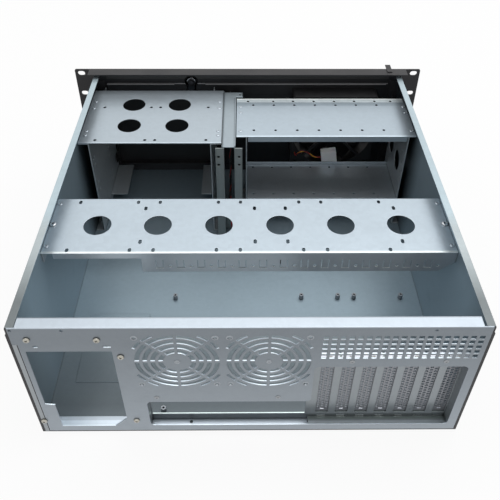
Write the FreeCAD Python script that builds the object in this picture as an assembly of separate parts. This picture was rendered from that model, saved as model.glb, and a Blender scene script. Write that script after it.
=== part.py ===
"""Empty four-unit rackmount server case, modelled with its lid off.

Frame: origin under the middle of the case, +X along the width (to the right as seen from the
front), +Y towards the rear panel, +Z up.  Most places are given as (x, depth, z), where depth
is the distance forward from the outside of the rear panel.  Millimetres throughout.
"""
import FreeCAD, Part
import math
import os

os.makedirs("parts", exist_ok=True)

V = FreeCAD.Vector

# ---------------------------------------------------------------- driving dimensions
CASE_W = 430.0            # outside width of the chassis
CASE_H = 171.0            # height of the chassis walls
CASE_D = 440.0            # rear panel's outside to the front panel's rear face
T = 1.2                   # steel sheet
BEND = 1.1                # outside radius of a fold
PANEL_W = 482.6           # 19 inch front panel
PANEL_H = 177.0           # four rack units, less the gap
PANEL_T = 2.0
HANDLE_REACH = 32.0       # handle in front of the front panel
SCREW_HEAD = 2.2          # height of a pan head, all that stands behind the rear panel

Y_REAR = (CASE_D + PANEL_T + HANDLE_REACH - SCREW_HEAD) / 2
HALF = CASE_W / 2
WALL_IN = HALF - T

JOGGLE_Z = 162.0          # above this the walls step in for the lid
TOP_FLANGE = 7.5
REAR_FLANGE = 12.0

BRACKET_Z = 151.0         # top of the cross-member
BRACKET_D = (110.0, 195.0)
CAGE_Z = 152.0            # top of both drive cages
BAY_X = (47.6, 200.7)     # middles of the side plates of the 5.25 inch cage
BAY_D = (300.0, 437.0)
BAY_FLOOR = 15.2
BAY_PITCH = 41.5
DRIVE_X = (-204.5, 2.5)   # middles of the side plates of the 3.5 inch cage
DRIVE_D = (313.5, 408.0)
DRIVE_FLOOR = 49.0
DRIVE_PITCH = 27.9
DRIVE_FIRST = -7.0
DRIVES = 7

RECESS = 12.0             # depth of the card and socket recess in the rear panel
SLOT_PITCH = 20.32
SLOT_FIRST = -74.5
SLOTS = 7
SLOT_W = 13.0
COVER_W = 18.4
COVER_T = 0.9
LEDGE_Z = 113.7
IO_W = 158.75
IO_H = 44.45
IO_X = -57.25             # low edge of the socket plate opening
IO_Z = 12.9

FAN_GRILLES = ((67.5, 121.5), (-16.8, 121.5))
GRILLE_HOLES = 71.5

BOARD_X = (91.7, -65.8, -190.24)
BOARD_D = (22.1, 177.0, 249.4)
STANDOFF_H = 6.5

FRONT_FAN = (-123.4, 88.0)
FAN_SIZE = 120.0
FAN_T = 25.0
FAN_PITCH = 105.0

HINGE_X = -197.0
HINGE_D = 448.0
DOOR_D = (452.0, 453.5)
DOOR_Z = (5.0, 170.0)
DOOR_X = (-200.5, 201.0)
LOCK = (80.0, 158.0)
BUTTON_X = 25.0
POWER_Z = 125.0
RESET_Z = 106.0
PRESS = 2.2


# ---------------------------------------------------------------- small helpers
def slab(x, d, z):
    """Box from (low, high) pairs of x, depth and z."""
    corner = V(x[0], Y_REAR - d[1], z[0])
    return Part.makeBox(x[1] - x[0], d[1] - d[0], z[1] - z[0], corner)


def place(plane, u, v, w):
    """Point of a sheet: u and v in the sheet, w the level of its first face."""
    if plane == "rear":
        return V(u, Y_REAR - w, v)
    if plane == "flat":
        return V(u, Y_REAR - v, w)
    return V(w, Y_REAR - u, v)


NORMAL = {"rear": V(0, -1, 0), "flat": V(0, 0, 1), "side": V(1, 0, 0)}


def polygon(plane, points, w):
    corners = [place(plane, u, v, w) for u, v in points]
    return Part.makePolygon(corners + corners[:1])


def rect(plane, u, v, w):
    return polygon(plane, ((u[0], v[0]), (u[1], v[0]), (u[1], v[1]), (u[0], v[1])), w)


def square(plane, u, v, side, w):
    half = side / 2
    return rect(plane, (u - half, u + half), (v - half, v + half), w)


def circle(plane, u, v, r, w):
    return Part.Wire(Part.makeCircle(r, place(plane, u, v, w), NORMAL[plane]))


def arc(plane, centre, r, start, end, w):
    points = []
    for angle in (start, (start + end) / 2, end):
        turn = math.radians(angle)
        points.append(place(plane, centre[0] + r * math.cos(turn), centre[1] + r * math.sin(turn), w))
    return Part.Arc(*points).toShape()


def slot(plane, u, v, length, width, w, upright=False):
    """Round-ended slot, along u unless upright."""
    r = width / 2
    run = length / 2 - r
    if upright:
        ends = ((u, v + run, 0), (u, v - run, 180))
    else:
        ends = ((u + run, v, -90), (u - run, v, 90))
    arcs = [arc(plane, (a, b), r, start, start + 180, w) for a, b, start in ends]
    first, second = arcs
    return Part.Wire([first, Part.makeLine(first.lastVertex().Point, second.firstVertex().Point),
                      second, Part.makeLine(second.lastVertex().Point, first.firstVertex().Point)])


def rounded(plane, points, r, w):
    """Closed outline whose corners all have radius r."""
    edges = []
    joins = []
    count = len(points)
    for i in range(count):
        corner = V(points[i][0], points[i][1], 0)
        before = V(points[i - 1][0], points[i - 1][1], 0) - corner
        after = V(points[(i + 1) % count][0], points[(i + 1) % count][1], 0) - corner
        before.normalize()
        after.normalize()
        half_angle = before.getAngle(after) / 2
        reach = r / math.tan(half_angle)
        bisector = before + after
        bisector.normalize()
        centre = corner + bisector * (r / math.sin(half_angle))
        middle = centre - bisector * r
        joins.append((corner + before * reach, middle, corner + after * reach))
    for i in range(count):
        start, middle, end = (place(plane, p.x, p.y, w) for p in joins[i])
        following = joins[(i + 1) % count][0]
        edges.append(Part.Arc(start, middle, end).toShape())
        edges.append(Part.makeLine(end, place(plane, following.x, following.y, w)))
    return Part.Wire(edges)


def sheet(plane, outline, holes, thickness):
    """Flat sheet of metal with its holes, from closed wires."""
    face = Part.makeFace([outline] + list(holes), "Part::FaceMakerBullseye")
    return face.extrude(NORMAL[plane] * thickness)


def folded(profile, x):
    """Prism along x from a closed (depth, z) outline."""
    face = Part.Face(polygon("side", profile, x[0]))
    return face.extrude(V(x[1] - x[0], 0, 0))


def bend(shape, d, z):
    """Round the outer edge of a fold that runs along X at a depth and height."""
    fold = [edge for edge in shape.Edges
            if all(abs(v.Point.y - (Y_REAR - d)) + abs(v.Point.z - z) < 0.01 for v in edge.Vertexes)]
    return shape.makeFillet(BEND, fold)


def rod(start, end, r):
    """Cylinder between two (x, depth, z) points."""
    a = V(start[0], Y_REAR - start[1], start[2])
    b = V(end[0], Y_REAR - end[1], end[2])
    return Part.makeCylinder(r, (b - a).Length, a, b - a)


def join(shapes):
    shapes = list(shapes)
    return shapes[0].multiFuse(shapes[1:]).removeSplitter()


def drill(shape, tools):
    return shape.cut(Part.makeCompound(list(tools)))


def pan_screw(at, towards, length, r=1.45, head=3.1, height=SCREW_HEAD):
    """Pan-head screw: at is under the head, towards is the way its shank runs."""
    step = V(*towards)
    under = V(*at)
    top = under - step * height
    crown = under - step * (height * 0.45)
    shank = rod(tuple(under), tuple(under + step * length), r)
    collar = rod(tuple(under), tuple(crown), head)
    a = V(crown.x, Y_REAR - crown.y, crown.z)
    b = V(top.x, Y_REAR - top.y, top.z)
    dome = Part.makeCone(head, head * 0.62, (b - a).Length, a, b - a)
    return join([shank, collar, dome])


def rivet(at, towards, length, r=1.5, head=2.6, height=0.8, tail=2.2):
    """Rivet with a low head on one face and, unless it is flush, a smaller tail on the other."""
    step = V(*towards)
    under = V(*at)
    end = under + step * length
    parts = [rod(tuple(under - step * height), tuple(under), head), rod(tuple(under), tuple(end), r)]
    if tail:
        parts.append(rod(tuple(end), tuple(end + step * height), tail))
    return join(parts)


def hexagon(x, d, z, across, height):
    """Upright hexagonal prism."""
    r = across / math.sqrt(3)
    points = []
    for k in range(6):
        turn = math.radians(60 * k + 30)
        points.append((x + r * math.cos(turn), d + r * math.sin(turn)))
    return Part.Face(polygon("flat", points, z)).extrude(V(0, 0, height))


def export(name, shape):
    if not isinstance(shape, Part.Shape):
        shape = Part.makeCompound(list(shape))
    shape.exportStep("parts/" + name + ".step")


# ---------------------------------------------------------------- chassis base
def chassis_base():
    """Floor and walls folded from one sheet, with flanges for the lid and front panel."""
    raised = 1.0
    strip_z = 148.0
    pieces = [slab((-HALF, HALF), (T, CASE_D), (0, T))]
    for side in (-1, 1):
        profile = ((HALF, 0), (HALF, JOGGLE_Z), (HALF - T, JOGGLE_Z), (HALF - T, CASE_H),
                   (HALF - T - TOP_FLANGE, CASE_H), (HALF - T - TOP_FLANGE, CASE_H - T),
                   (HALF - 2 * T, CASE_H - T), (HALF - 2 * T, JOGGLE_Z - T),
                   (WALL_IN, JOGGLE_Z - T), (WALL_IN, 0))
        outline = polygon("rear", [(side * x, z) for x, z in profile], T)
        wall = Part.Face(outline).extrude(V(0, -(432.0 - T), 0))
        front = slab(sorted((side * HALF, side * WALL_IN)), (432.0, CASE_D), (0, JOGGLE_Z))
        flange = slab(sorted((side * (WALL_IN - 12), side * WALL_IN)), (CASE_D - T, CASE_D),
                      (T, JOGGLE_Z - 2))
        pieces += [wall, front, flange]
    pieces.append(slab((HALF - 7.5, HALF), (0, T), (0, strip_z)))
    pieces.append(slab((-195, 195), (CASE_D - T, CASE_D), (T, 12)))
    pieces.append(slab((121, 192.7), (57, 152), (T, T + raised)))
    holes = [rod((x, CASE_D - 2 * T, z), (x, CASE_D + 1, z), 1.6) for x, z in FLANGE_SCREWS]
    holes += [rod((x, d, -1), (x, d, 2 * T), 1.6) for x, d in foot_rivets()]
    holes += [rod((x, d, -1), (x, d, 2 * T), 1.9) for x, d in standoff_places()]
    holes += [rod((209.2, -1, 21.2), (209.2, 2 * T, 21.2), 1.6)]
    return drill(join(pieces), holes)


FLANGE_SCREWS = [(side * 207.6, z) for side in (-1, 1) for z in (22.0, 78.0, 134.0)]


def standoff_places():
    places = [(x, d) for x in BOARD_X for d in BOARD_D]
    return places + [(-111.5, BOARD_D[1]), (-131.8, BOARD_D[1])]


def standoffs():
    """Hexagonal board posts with a tapped hole, each on a spigot staked into the floor."""
    across = 5.0
    posts = []
    for x, d in standoff_places():
        post = hexagon(x, d, T, across, STANDOFF_H)
        spigot = rod((x, d, T), (x, d, 0.1), 1.85)
        hole = rod((x, d, T + 0.8), (x, d, T + STANDOFF_H + 1), 1.25)
        posts.append(drill(join([post, spigot]), [hole]))
    return posts


# ---------------------------------------------------------------- rear panel
def grille_wires(x, z, w):
    """Fan guard punched in the panel: four rings cut by eight spokes, and the corner arcs."""
    spoke = 2.5
    wires = []
    for inner, outer in ((13.0, 17.4), (20.2, 24.6), (27.4, 31.8), (34.6, 39.0)):
        for k in range(8):
            wires.append(ring_slot((x, z), inner, outer, spoke, 45 * k, 45 * k + 45, w))
    for k in range(4):
        middle = 90 * k + 45
        for low, high in ((middle - 19, middle), (middle, middle + 19)):
            wires.append(ring_slot((x, z), 41.6, 44.6, spoke, low, high, w))
    return wires


def ring_slot(centre, inner, outer, spoke, start, end, w):
    """Part of a ring between two spokes whose middles lie at the start and end angles."""
    near = math.degrees(math.asin(spoke / 2 / inner))
    far = math.degrees(math.asin(spoke / 2 / outer))
    edge_in = arc("rear", centre, inner, start + near, end - near, w)
    edge_out = arc("rear", centre, outer, start + far, end - far, w)
    return Part.Wire([edge_in, Part.makeLine(edge_in.lastVertex().Point, edge_out.lastVertex().Point),
                      edge_out, Part.makeLine(edge_out.firstVertex().Point, edge_in.firstVertex().Point)])


REAR_SCREWS = ((197.6, 155.6), (136.1, 155.2), (118.0, 130.1), (115.5, 21.3))
TRAY_RIVETS = ((-93.5, 120.7), (-180.4, 120.7), (91.3, 62.6), (-27.1, 62.6))
IO_EDGE = 102.0           # end of the recess at the socket plate
SLOT_EDGE = -203.5        # end of the recess at the last card slot
STEP_X = -59.5            # where the recess changes height
STEP_Z = 54.8
RECESS_TOP = 112.5
RECESS_LOW = 11.0
REAR_FOOT = 15.4          # reach of the flange that stands on the floor
LID_HOLES = ((165.0, 167.6), (-162.6, 166.6), (209.6, 168.0))


def rear_panel():
    """Rear panel with a supply opening, two fan guards, a vent and the recess window."""
    opening = ((202.5, 138), (125, 138), (125, 24.5), (138, RECESS_LOW - 0.5), (193, RECESS_LOW - 0.5),
               (193, 50), (202.5, 51.5))
    window = ((IO_EDGE, RECESS_LOW), (IO_EDGE, STEP_Z), (STEP_X, STEP_Z), (STEP_X, RECESS_TOP),
              (SLOT_EDGE, RECESS_TOP), (SLOT_EDGE, RECESS_LOW))
    outline = ((-HALF, 0), (HALF - 7.7, 0), (HALF - 7.7, 148.2), (HALF, 148.2), (HALF, JOGGLE_Z),
               (HALF - T, JOGGLE_Z), (HALF - T, CASE_H), (-HALF + T, CASE_H), (-HALF + T, JOGGLE_Z),
               (-HALF, JOGGLE_Z))
    holes = [polygon("rear", opening, 0), rounded("rear", window, 5.0, 0)]
    for x, z in FAN_GRILLES:
        holes += grille_wires(x, z, 0)
        half = GRILLE_HOLES / 2
        holes += [circle("rear", x + i * half, z + j * half, 2.2, 0) for i in (-1, 1) for j in (-1, 1)]
    for column in range(19):
        for row in range(5):
            holes.append(square("rear", -66.7 - 7.69 * column, 128.0 + 7.05 * row, 5.0, 0))
    holes += [circle("rear", x, z, 1.6, 0) for x, z in REAR_SCREWS + TRAY_RIVETS]
    holes += [circle("rear", x, z, 1.5, 0) for x, z in LID_HOLES]
    holes += [rect("rear", (190.0, 194.3), (143.5, 146.5), 0), rect("rear", (125, 132), (143.5, 146.5), 0)]
    face = sheet("rear", polygon("rear", outline, 0), holes, T)
    top = slab((-204, 205.6), (T, REAR_FLANGE), (CASE_H - T, CASE_H))
    foot = drill(slab((-203.4, 203.4), (T, REAR_FOOT), (T, 2 * T)),
                 [rod((x, 8.8, 0), (x, 8.8, 4), 1.7) for x in (61.5, -61.5)])
    return bend(join([face, top, foot]), 0, CASE_H)


def io_slot_tray():
    """Recessed tray: a stepped box with the socket plate opening and seven card slots."""
    back = RECESS
    io_top = 57.9
    shelf = 4.8
    right = SLOT_EDGE - 0.5
    left = IO_EDGE + 1.4
    step = STEP_X + 0.1
    outline = ((left, 2.6), (left, io_top + T), (step + T, io_top + T), (step + T, LEDGE_Z + T),
               (right - T, LEDGE_Z + T), (right - T, shelf), (STEP_X - 1, shelf), (STEP_X - 1, 2.6))
    holes = [rect("rear", (IO_X, IO_X + IO_W), (IO_Z, IO_Z + IO_H), back)]
    holes += [rect("rear", (x - SLOT_W / 2, x + SLOT_W / 2), (14.5, 110.0), back) for x in slot_centres()]
    plane = sheet("rear", polygon("rear", outline, back), holes, T)
    walls = [slab((step, left), (T, back), (io_top, io_top + T)),
             slab((left - T, left), (T, back), (2.6, io_top + T)),
             slab((right - T, step + T), (T, back), (LEDGE_Z, LEDGE_Z + T)),
             slab((step, step + T), (T, back), (io_top, LEDGE_Z + T)),
             slab((right - T, right), (T, back), (shelf, LEDGE_Z + T)),
             slab((right, STEP_X - 1), (T, back), (shelf, shelf + T)),
             slab((step, left), (T, 2 * T), (io_top, 67)),
             slab((right - T, step + T), (T, 2 * T), (LEDGE_Z, 124.8))]
    tongues = [slab((x - 4.6, x + 4.6), (back - 1, back + 2 * T), (7.0, 9.6)) for x in slot_centres()]
    screw_holes = [rod((x, 6, LEDGE_Z - 1), (x, 6, LEDGE_Z + 3), 1.6) for x in slot_centres()]
    rivet_holes = [rod((x, 0, z), (x, 3, z), 1.6) for x, z in TRAY_RIVETS]
    return drill(join([plane] + walls), tongues + screw_holes + rivet_holes)


def slot_centres():
    return [SLOT_FIRST - SLOT_PITCH * k for k in range(SLOTS)]


def slot_cover(x):
    """Blanking cover: a strip behind the slot, its tab folded back over the ledge."""
    half = COVER_W / 2
    front = RECESS + T
    top = LEDGE_Z + T
    outline = ((x - half, 18), (x - half, top + COVER_T), (x + half, top + COVER_T), (x + half, 18),
               (x + 5.5, 12), (x - 5.5, 12))
    strip = sheet("rear", polygon("rear", outline, front), [], COVER_T)
    tab = slab((x - half, x + half), (2.8, front), (top, top + COVER_T))
    notch = rod((x, 6, top - 1), (x, 6, top + 2), 1.8)
    return drill(join([strip, tab]), [notch])


def cover_screws():
    head = LEDGE_Z + T + COVER_T
    return [pan_screw((x, 6, head), (0, 0, -1), 5.0) for x in slot_centres()]


def rear_screws():
    screws = [pan_screw((x, 0, z), (0, 1, 0), 5.0) for x, z in REAR_SCREWS]
    return screws + [pan_screw((209.2, 0, 21.2), (0, 1, 0), 5.0)]


# ---------------------------------------------------------------- cross-member
BRACKET_RIVETS = [(side * 210.0, d) for side in (-1, 1) for d in (120.0, 186.0)]
BRACKET_SCREWS = [(side * 210.0, 152.5) for side in (-1, 1)]
GUIDES = 14               # tabs for card guides along the cross-member
GUIDE_FIRST = 93.3
GUIDE_PITCH = 21.45
GUIDE_END = 111.8         # the deep flange ends here and a short one goes on
GUIDE_LOW = 123.3


def fan_bracket():
    """Cross-member from wall to wall, with cable holes and a slotted card guide behind."""
    low, high = BRACKET_D
    end = WALL_IN - 0.2
    holes = [circle("flat", side * x, 151.5, 14.8, BRACKET_Z - T)
             for side in (-1, 1) for x in (162.6, 98.0, 32.7)]
    for x in (187.6, 123.4, 99.2, 34.4, 9.8, -55.3, -79.9, -144.7):
        holes += [slot("flat", x, d, 5.4, 3.5, BRACKET_Z - T, True) for d in (114.4, 188.8)]
    for x in (114.0, -5.7, -39.7, -159.5):
        holes += [slot("flat", x, d, 6.2, 3.5, BRACKET_Z - T, True) for d in (126.5, 178.5)]
    holes += [circle("flat", x, d, 1.6, BRACKET_Z - T) for x, d in BRACKET_RIVETS]
    holes += [circle("flat", x, d, 2.0, BRACKET_Z - T) for x, d in BRACKET_SCREWS]
    top = sheet("flat", rect("flat", (-end, end), (low, high), BRACKET_Z - T), holes, T)
    front = slab((-end + 12, end - 12), (high - T, high), (BRACKET_Z - 8, BRACKET_Z))
    short = slab((GUIDE_END, end - 12), (low, low + T), (BRACKET_Z - 8, BRACKET_Z))
    outline = polygon("rear", ((GUIDE_END, BRACKET_Z), (GUIDE_END, GUIDE_LOW), (-198.0, GUIDE_LOW),
                               (-end, GUIDE_LOW + 13.0), (-end, BRACKET_Z)), low)
    cuts = []
    for k in range(GUIDES):
        x = GUIDE_FIRST - GUIDE_PITCH * k
        cuts += [guide_tab(x, low), circle("rear", x - GUIDE_PITCH / 2, GUIDE_LOW + 8.5, 1.7, low)]
    member = join([top, front, short, sheet("rear", outline, cuts, T)])
    return bend(bend(member, low, BRACKET_Z), high, BRACKET_Z)


def guide_tab(x, w):
    """U-shaped slit that frees a tab, onto which a card guide clips."""
    low = GUIDE_LOW + 5.0
    high = low + 12.3
    outer = 4.1
    inner = outer - 1.0
    points = ((x - outer, high), (x - outer, low), (x + outer, low), (x + outer, high),
              (x + inner, high), (x + inner, low + 1.0), (x - inner, low + 1.0), (x - inner, high))
    return polygon("rear", points, w)


def bracket_ledge(side):
    """Angle riveted to a wall; the cross-member's end lies on it."""
    wall = side * WALL_IN
    top = BRACKET_Z - T
    flat = slab(sorted((side * 202.0, wall)), (112, 193), (top - T, top))
    leg = slab(sorted((wall, wall - side * T)), (112, 193), (top - 14, top - T))
    holes = [rod((x, d, top - 2), (x, d, top + 1), 1.6) for x, d in BRACKET_RIVETS]
    holes += [rod((x, d, top - 2), (x, d, top + 1), 2.0) for x, d in BRACKET_SCREWS]
    return drill(join([flat, leg]), holes)


def bracket_screws():
    return [pan_screw((x, d, BRACKET_Z), (0, 0, -1), 6.0, 1.9, 3.4) for x, d in BRACKET_SCREWS]


# ---------------------------------------------------------------- 5.25 inch cage
CAGE_RIVET_D = (317.0, 326.0, 380.0, 396.0)
BAY_RIVET_X = (38.7, 207.5)
DRIVE_RIVET_X = (10.2, -210.0)
DRIVE_RIVET_D = (326.0, 368.8, 383.5)


def foot_rivets():
    """Rivets through the floor under both cages and the centre post."""
    feet = [(x, d) for x in (41.0, 207.5) for d in (318.0, 420.0)]
    feet += [(x, d) for x in (9.0, -209.5) for d in (326.0, 383.5)]
    return feet + [(24.3, 312.0)]


def bay_top():
    """Top plate of the 5.25 inch cage."""
    w = CAGE_Z - T
    holes = [circle("flat", x, d, 15.0, w) for x in (154.3, 92.6) for d in (338.6, 388.6)]
    holes += [circle("flat", x, d, 2.0, w) for x in (193, 130.5, 118, 53.7) for d in (306.5, 382.3)]
    holes += [circle("flat", x, d, 1.6, w) for x in BAY_RIVET_X for d in CAGE_RIVET_D]
    plate = sheet("flat", rect("flat", (34.0, 213.5), (300.0, 425.0), w), holes, T)
    lip = slab((50.0, 198.0), (425.0 - T, 425.0), (w - 6, w))
    return join([plate, lip])


def bay_side(index):
    """Side plate of the 5.25 inch cage, folded out at its top and foot, with drive slots."""
    x = BAY_X[index]
    out = (-1, 1)[index]
    low, high = BAY_D
    top = CAGE_Z - T
    face = x - T / 2
    holes = []
    for bay in range(3):
        base = BAY_FLOOR + BAY_PITCH * bay
        holes += [slot("side", d, base + rise, 9.0, 3.4, face) for d in (312.0, 390.0) for rise in (10.0, 21.8)]
    outline = rect("side", (low, high), (T, top), face)
    edge = x + out * T / 2
    top_fold = slab(sorted((edge, edge + out * 12.2)), (low, 424.0), (top - T, top))
    foot = slab(sorted((edge, edge + out * 11.0)), (low, 430.0), (T, 2 * T))
    holes_up = [rod((rx, d, top - 2), (rx, d, top + 1), 1.6) for rx in BAY_RIVET_X for d in CAGE_RIVET_D]
    holes_down = [rod((rx, d, 0), (rx, d, 3), 1.6) for rx, d in foot_rivets()]
    return drill(join([sheet("side", outline, holes, T), top_fold, foot]), holes_up + holes_down)


def bay_ledge(index):
    """Angle inside the 5.25 inch cage that carries the lowest drive."""
    x = BAY_X[index]
    inward = (1, -1)[index]
    face = x + inward * T / 2
    reach = (20.0, 24.0)[index]
    flat = slab(sorted((face, face + inward * reach)), (363, 432), (BAY_FLOOR - T, BAY_FLOOR))
    leg = slab(sorted((face, face + inward * T)), (363, 432), (BAY_FLOOR - 9, BAY_FLOOR))
    return join([flat, leg])


def rivets():
    """Every rivet of the case: tray, cross-member, cage tops, and flush ones in the floor."""
    tops = [(x, d) for x in BAY_RIVET_X for d in CAGE_RIVET_D]
    tops += [(x, d) for x in DRIVE_RIVET_X for d in DRIVE_RIVET_D]
    down = (0, 0, -1)
    every = [rivet((x, 0, z), (0, 1, 0), 2 * T) for x, z in TRAY_RIVETS]
    every += [rivet((x, d, BRACKET_Z), down, 2 * T) for x, d in BRACKET_RIVETS]
    every += [rivet((x, d, CAGE_Z), down, 2 * T) for x, d in tops]
    return every + [rivet((x, d, 2 * T), down, 2 * T - 0.1, tail=0) for x, d in foot_rivets()]


# ---------------------------------------------------------------- 3.5 inch cage
STEP_D = 394.4
STEP_DROP = 2.5


def drive_xs():
    return [DRIVE_FIRST - DRIVE_PITCH * k for k in range(DRIVES)]


def drive_top():
    """Top plate of the 3.5 inch cage, stepped down along its front edge."""
    low, high = DRIVE_D
    z = CAGE_Z
    profile = ((low, z), (STEP_D, z), (STEP_D, z - STEP_DROP), (high, z - STEP_DROP),
               (high, z - STEP_DROP - T), (STEP_D - T, z - STEP_DROP - T), (STEP_D - T, z - T),
               (low + T, z - T), (low + T, z - 8), (low, z - 8))
    plate = folded(profile, (-WALL_IN + 0.3, 15.5))
    corner = slab((-WALL_IN, DRIVE_X[0] + 2), (low - 1, low + T + 0.01), (z - 9, z - T))
    other = slab((DRIVE_X[1] - 2, 16), (low - 1, low + T + 0.01), (z - 9, z - T))
    holes = [rod((x, d, z - 3), (x, d, z + 1), 1.8) for x in drive_xs() for d in (328.0, 387.7)]
    row = (0.0, -34.5, -62.0, -90.4, -118.4, -146.0, -174.0, -196.1)
    holes += [rod((x, 401.2, z - 6), (x, 401.2, z), 1.8) for x in row]
    holes += [rod((x, d, z - 3), (x, d, z + 1), 1.6) for x in DRIVE_RIVET_X for d in DRIVE_RIVET_D]
    return drill(plate, holes + [corner, other])


def drive_floor():
    """Lower plate of the 3.5 inch cage, with a turned-up lip in front."""
    low = DRIVE_D[0]
    z = DRIVE_FLOOR
    inner = (DRIVE_X[0] + T / 2, DRIVE_X[1] - T / 2)
    holes = [circle("flat", x, d, 1.8, z - T) for x in drive_xs() for d in (323.5, 383.2)]
    plate = sheet("flat", rect("flat", inner, (low, 391.0), z - T), holes, T)
    lip = slab(inner, (391.0 - T, 391.0), (z, z + 4))
    ends = [slab((inner[0], inner[0] + T), (low, 391.0), (z - 9, z - T)),
            slab((inner[1] - T, inner[1]), (low, 391.0), (z - 9, z - T))]
    return join([plate, lip] + ends)


def drive_side(index):
    """Side plate of the 3.5 inch cage, folded out at its top and foot."""
    x = DRIVE_X[index]
    out = (-1, 1)[index]
    low, high = DRIVE_D[0], 404.0
    top = CAGE_Z - T
    face = x - T / 2
    holes = [circle("side", d, 90.0, 14.0, face) for d in (347.0, 387.0)]
    holes += [circle("side", 323.7, z, 1.6, face) for z in (72.0, 88.0, 104.0, 121.3)]
    edge = x + out * T / 2
    reach = (8.4, 12.2)[index]
    plate = sheet("side", rect("side", (low, high), (T, top), face), holes, T)
    front = slab((face, face + T), (STEP_D - T, high), (top - STEP_DROP, top + 1))
    top_fold = slab(sorted((edge, edge + out * reach)), (low + 2, STEP_D - 2), (top - T, top))
    foot = slab(sorted((edge, edge + out * reach)), (low, 391.0), (T, 2 * T))
    holes_up = [rod((rx, d, top - 2), (rx, d, top + 1), 1.6) for rx in DRIVE_RIVET_X for d in DRIVE_RIVET_D]
    holes_down = [rod((rx, d, 0), (rx, d, 3), 1.6) for rx, d in foot_rivets()]
    return drill(join([plate, top_fold, foot]), holes_up + holes_down + [front])


# ---------------------------------------------------------------- centre post and channel
POST_X = (16.6, 32.0)
POST_D = (290.0, 304.0)
POST_WEB = 50.0           # the web is cut away above this, where the panel lead crosses it


def centre_post():
    """Upright hat section with a foot; its web stands only as high as the panel lead."""
    left, right = POST_X
    rear, front = POST_D
    top = CAGE_Z - T
    low = T
    web = slab((left, right), (front, front + T), (low, POST_WEB))
    sides = [slab(x, (rear, front), (low, top)) for x in ((left, left + T), (right - T, right))]
    ears = [sheet("rear", rect("rear", (7.8, left + T), (low, top), rear), ear_holes(11.9, rear), T),
            sheet("rear", rect("rear", (right - T, 41.4), (low, top), rear), ear_holes(37.8, rear), T)]
    foot = slab((left + 2, right - 2), (front + T, 318.0), (T, 2 * T))
    return drill(join([web] + sides + ears + [foot]), [rod((24.3, 312, 0), (24.3, 312, 3), 1.6)])


def ear_holes(x, w):
    return [circle("rear", x, z, 2.0, w) for z in (125.0, 137.4)]


def centre_channel():
    """Shallow channel on the cage tops, with turned-up lips and a fixing tab."""
    z = CAGE_Z - T
    floor = slab((16.4, 33.6), (291.5, 420.0), (z, CAGE_Z))
    lips = [slab((16.4, 17.6), (291.5, 406.0), (CAGE_Z, CAGE_Z + 2)),
            slab((32.4, 33.6), (291.5, 420.0), (CAGE_Z, CAGE_Z + 2))]
    tab = slab((7.0, 16.4), (409.0, 420.0), (z, CAGE_Z))
    holes = [rod((11.0, 414.5, z - 1), (11.0, 414.5, z + 2), 1.8)]
    return drill(join([floor, tab] + lips), holes)


# ---------------------------------------------------------------- front panel and its fittings
RACK_X = PANEL_W / 2 - 8.75
RACK_Z = (5.95, 37.7, 139.3, 171.05)
HANDLE_X = 222.0
HANDLE_Z = (50.0, 127.0)
BAY_OPEN = ((49.8, 198.6), (15.0, 139.6))
FAN_ROWS = 9


def front_panel():
    """Rack-width panel, folded back along its top, cut out for bays, fan, lock and controls."""
    w = CASE_D
    half = PANEL_W / 2
    outline = rounded("rear", ((-half, 0), (half, 0), (half, PANEL_H), (-half, PANEL_H)), 2.0, w)
    holes = [slot("rear", side * RACK_X, z, 10.0, 7.0, w) for side in (-1, 1) for z in RACK_Z]
    holes += [circle("rear", side * HANDLE_X, z, 2.1, w) for side in (-1, 1) for z in HANDLE_Z]
    holes += [rect("rear", *BAY_OPEN, w), lock_cutout(w)]
    holes += [circle("rear", BUTTON_X, POWER_Z, 5.95, w), circle("rear", BUTTON_X, RESET_Z, 3.45, w)]
    holes += [circle("rear", x, LED_Z, 2.55, w) for x in LED_X]
    holes += [circle("rear", x, z, 1.6, w) for x, z in FLANGE_SCREWS]
    holes += fan_slots(w)
    x, z = FRONT_FAN
    reach = FAN_PITCH / 2
    holes += [circle("rear", x + i * reach, z + j * reach, 2.15, w) for i in (-1, 1) for j in (-1, 1)]
    panel = sheet("rear", outline, holes, PANEL_T)
    top = slab((-220.8, 220.8), (w - 15.0, w), (PANEL_H - PANEL_T, PANEL_H))
    ribs = [slab((104, 200), (w - 2.5, w), (154, 155.2)), slab((-196, 60), (w - 2.5, w), (154, 155.2))]
    return join([panel, top] + ribs)


LED_Z = 92.0
LED_X = (18.5, 31.5)


def lock_cutout(w):
    """Round hole for the lock with a slot below that lets the hanging cam through."""
    x, z = LOCK
    r = 9.5
    half = 6.2
    start = math.degrees(math.acos(half / r))
    neck = z - math.sqrt(r * r - half * half)
    bow = arc("rear", LOCK, r, -start, 180 + start, w)
    low = 142.4
    points = [place("rear", x - half, neck, w), place("rear", x - half, low, w),
              place("rear", x + half, low, w), place("rear", x + half, neck, w)]
    lines = [Part.makeLine(points[i], points[i + 1]) for i in range(3)]
    return Part.Wire([bow] + lines)


def fan_slots(w):
    """Rows of slots that fill the circle of the front fan."""
    x, z = FRONT_FAN
    wires = []
    for row in range(FAN_ROWS):
        rise = (row - (FAN_ROWS - 1) / 2) * 11.0
        half = math.sqrt(54.0 ** 2 - rise ** 2)
        for side in (-1, 1):
            wires.append(slot("rear", x + side * (half + 2.5) / 2, z + rise, half - 2.5, 6.0, w))
    return wires


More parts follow.
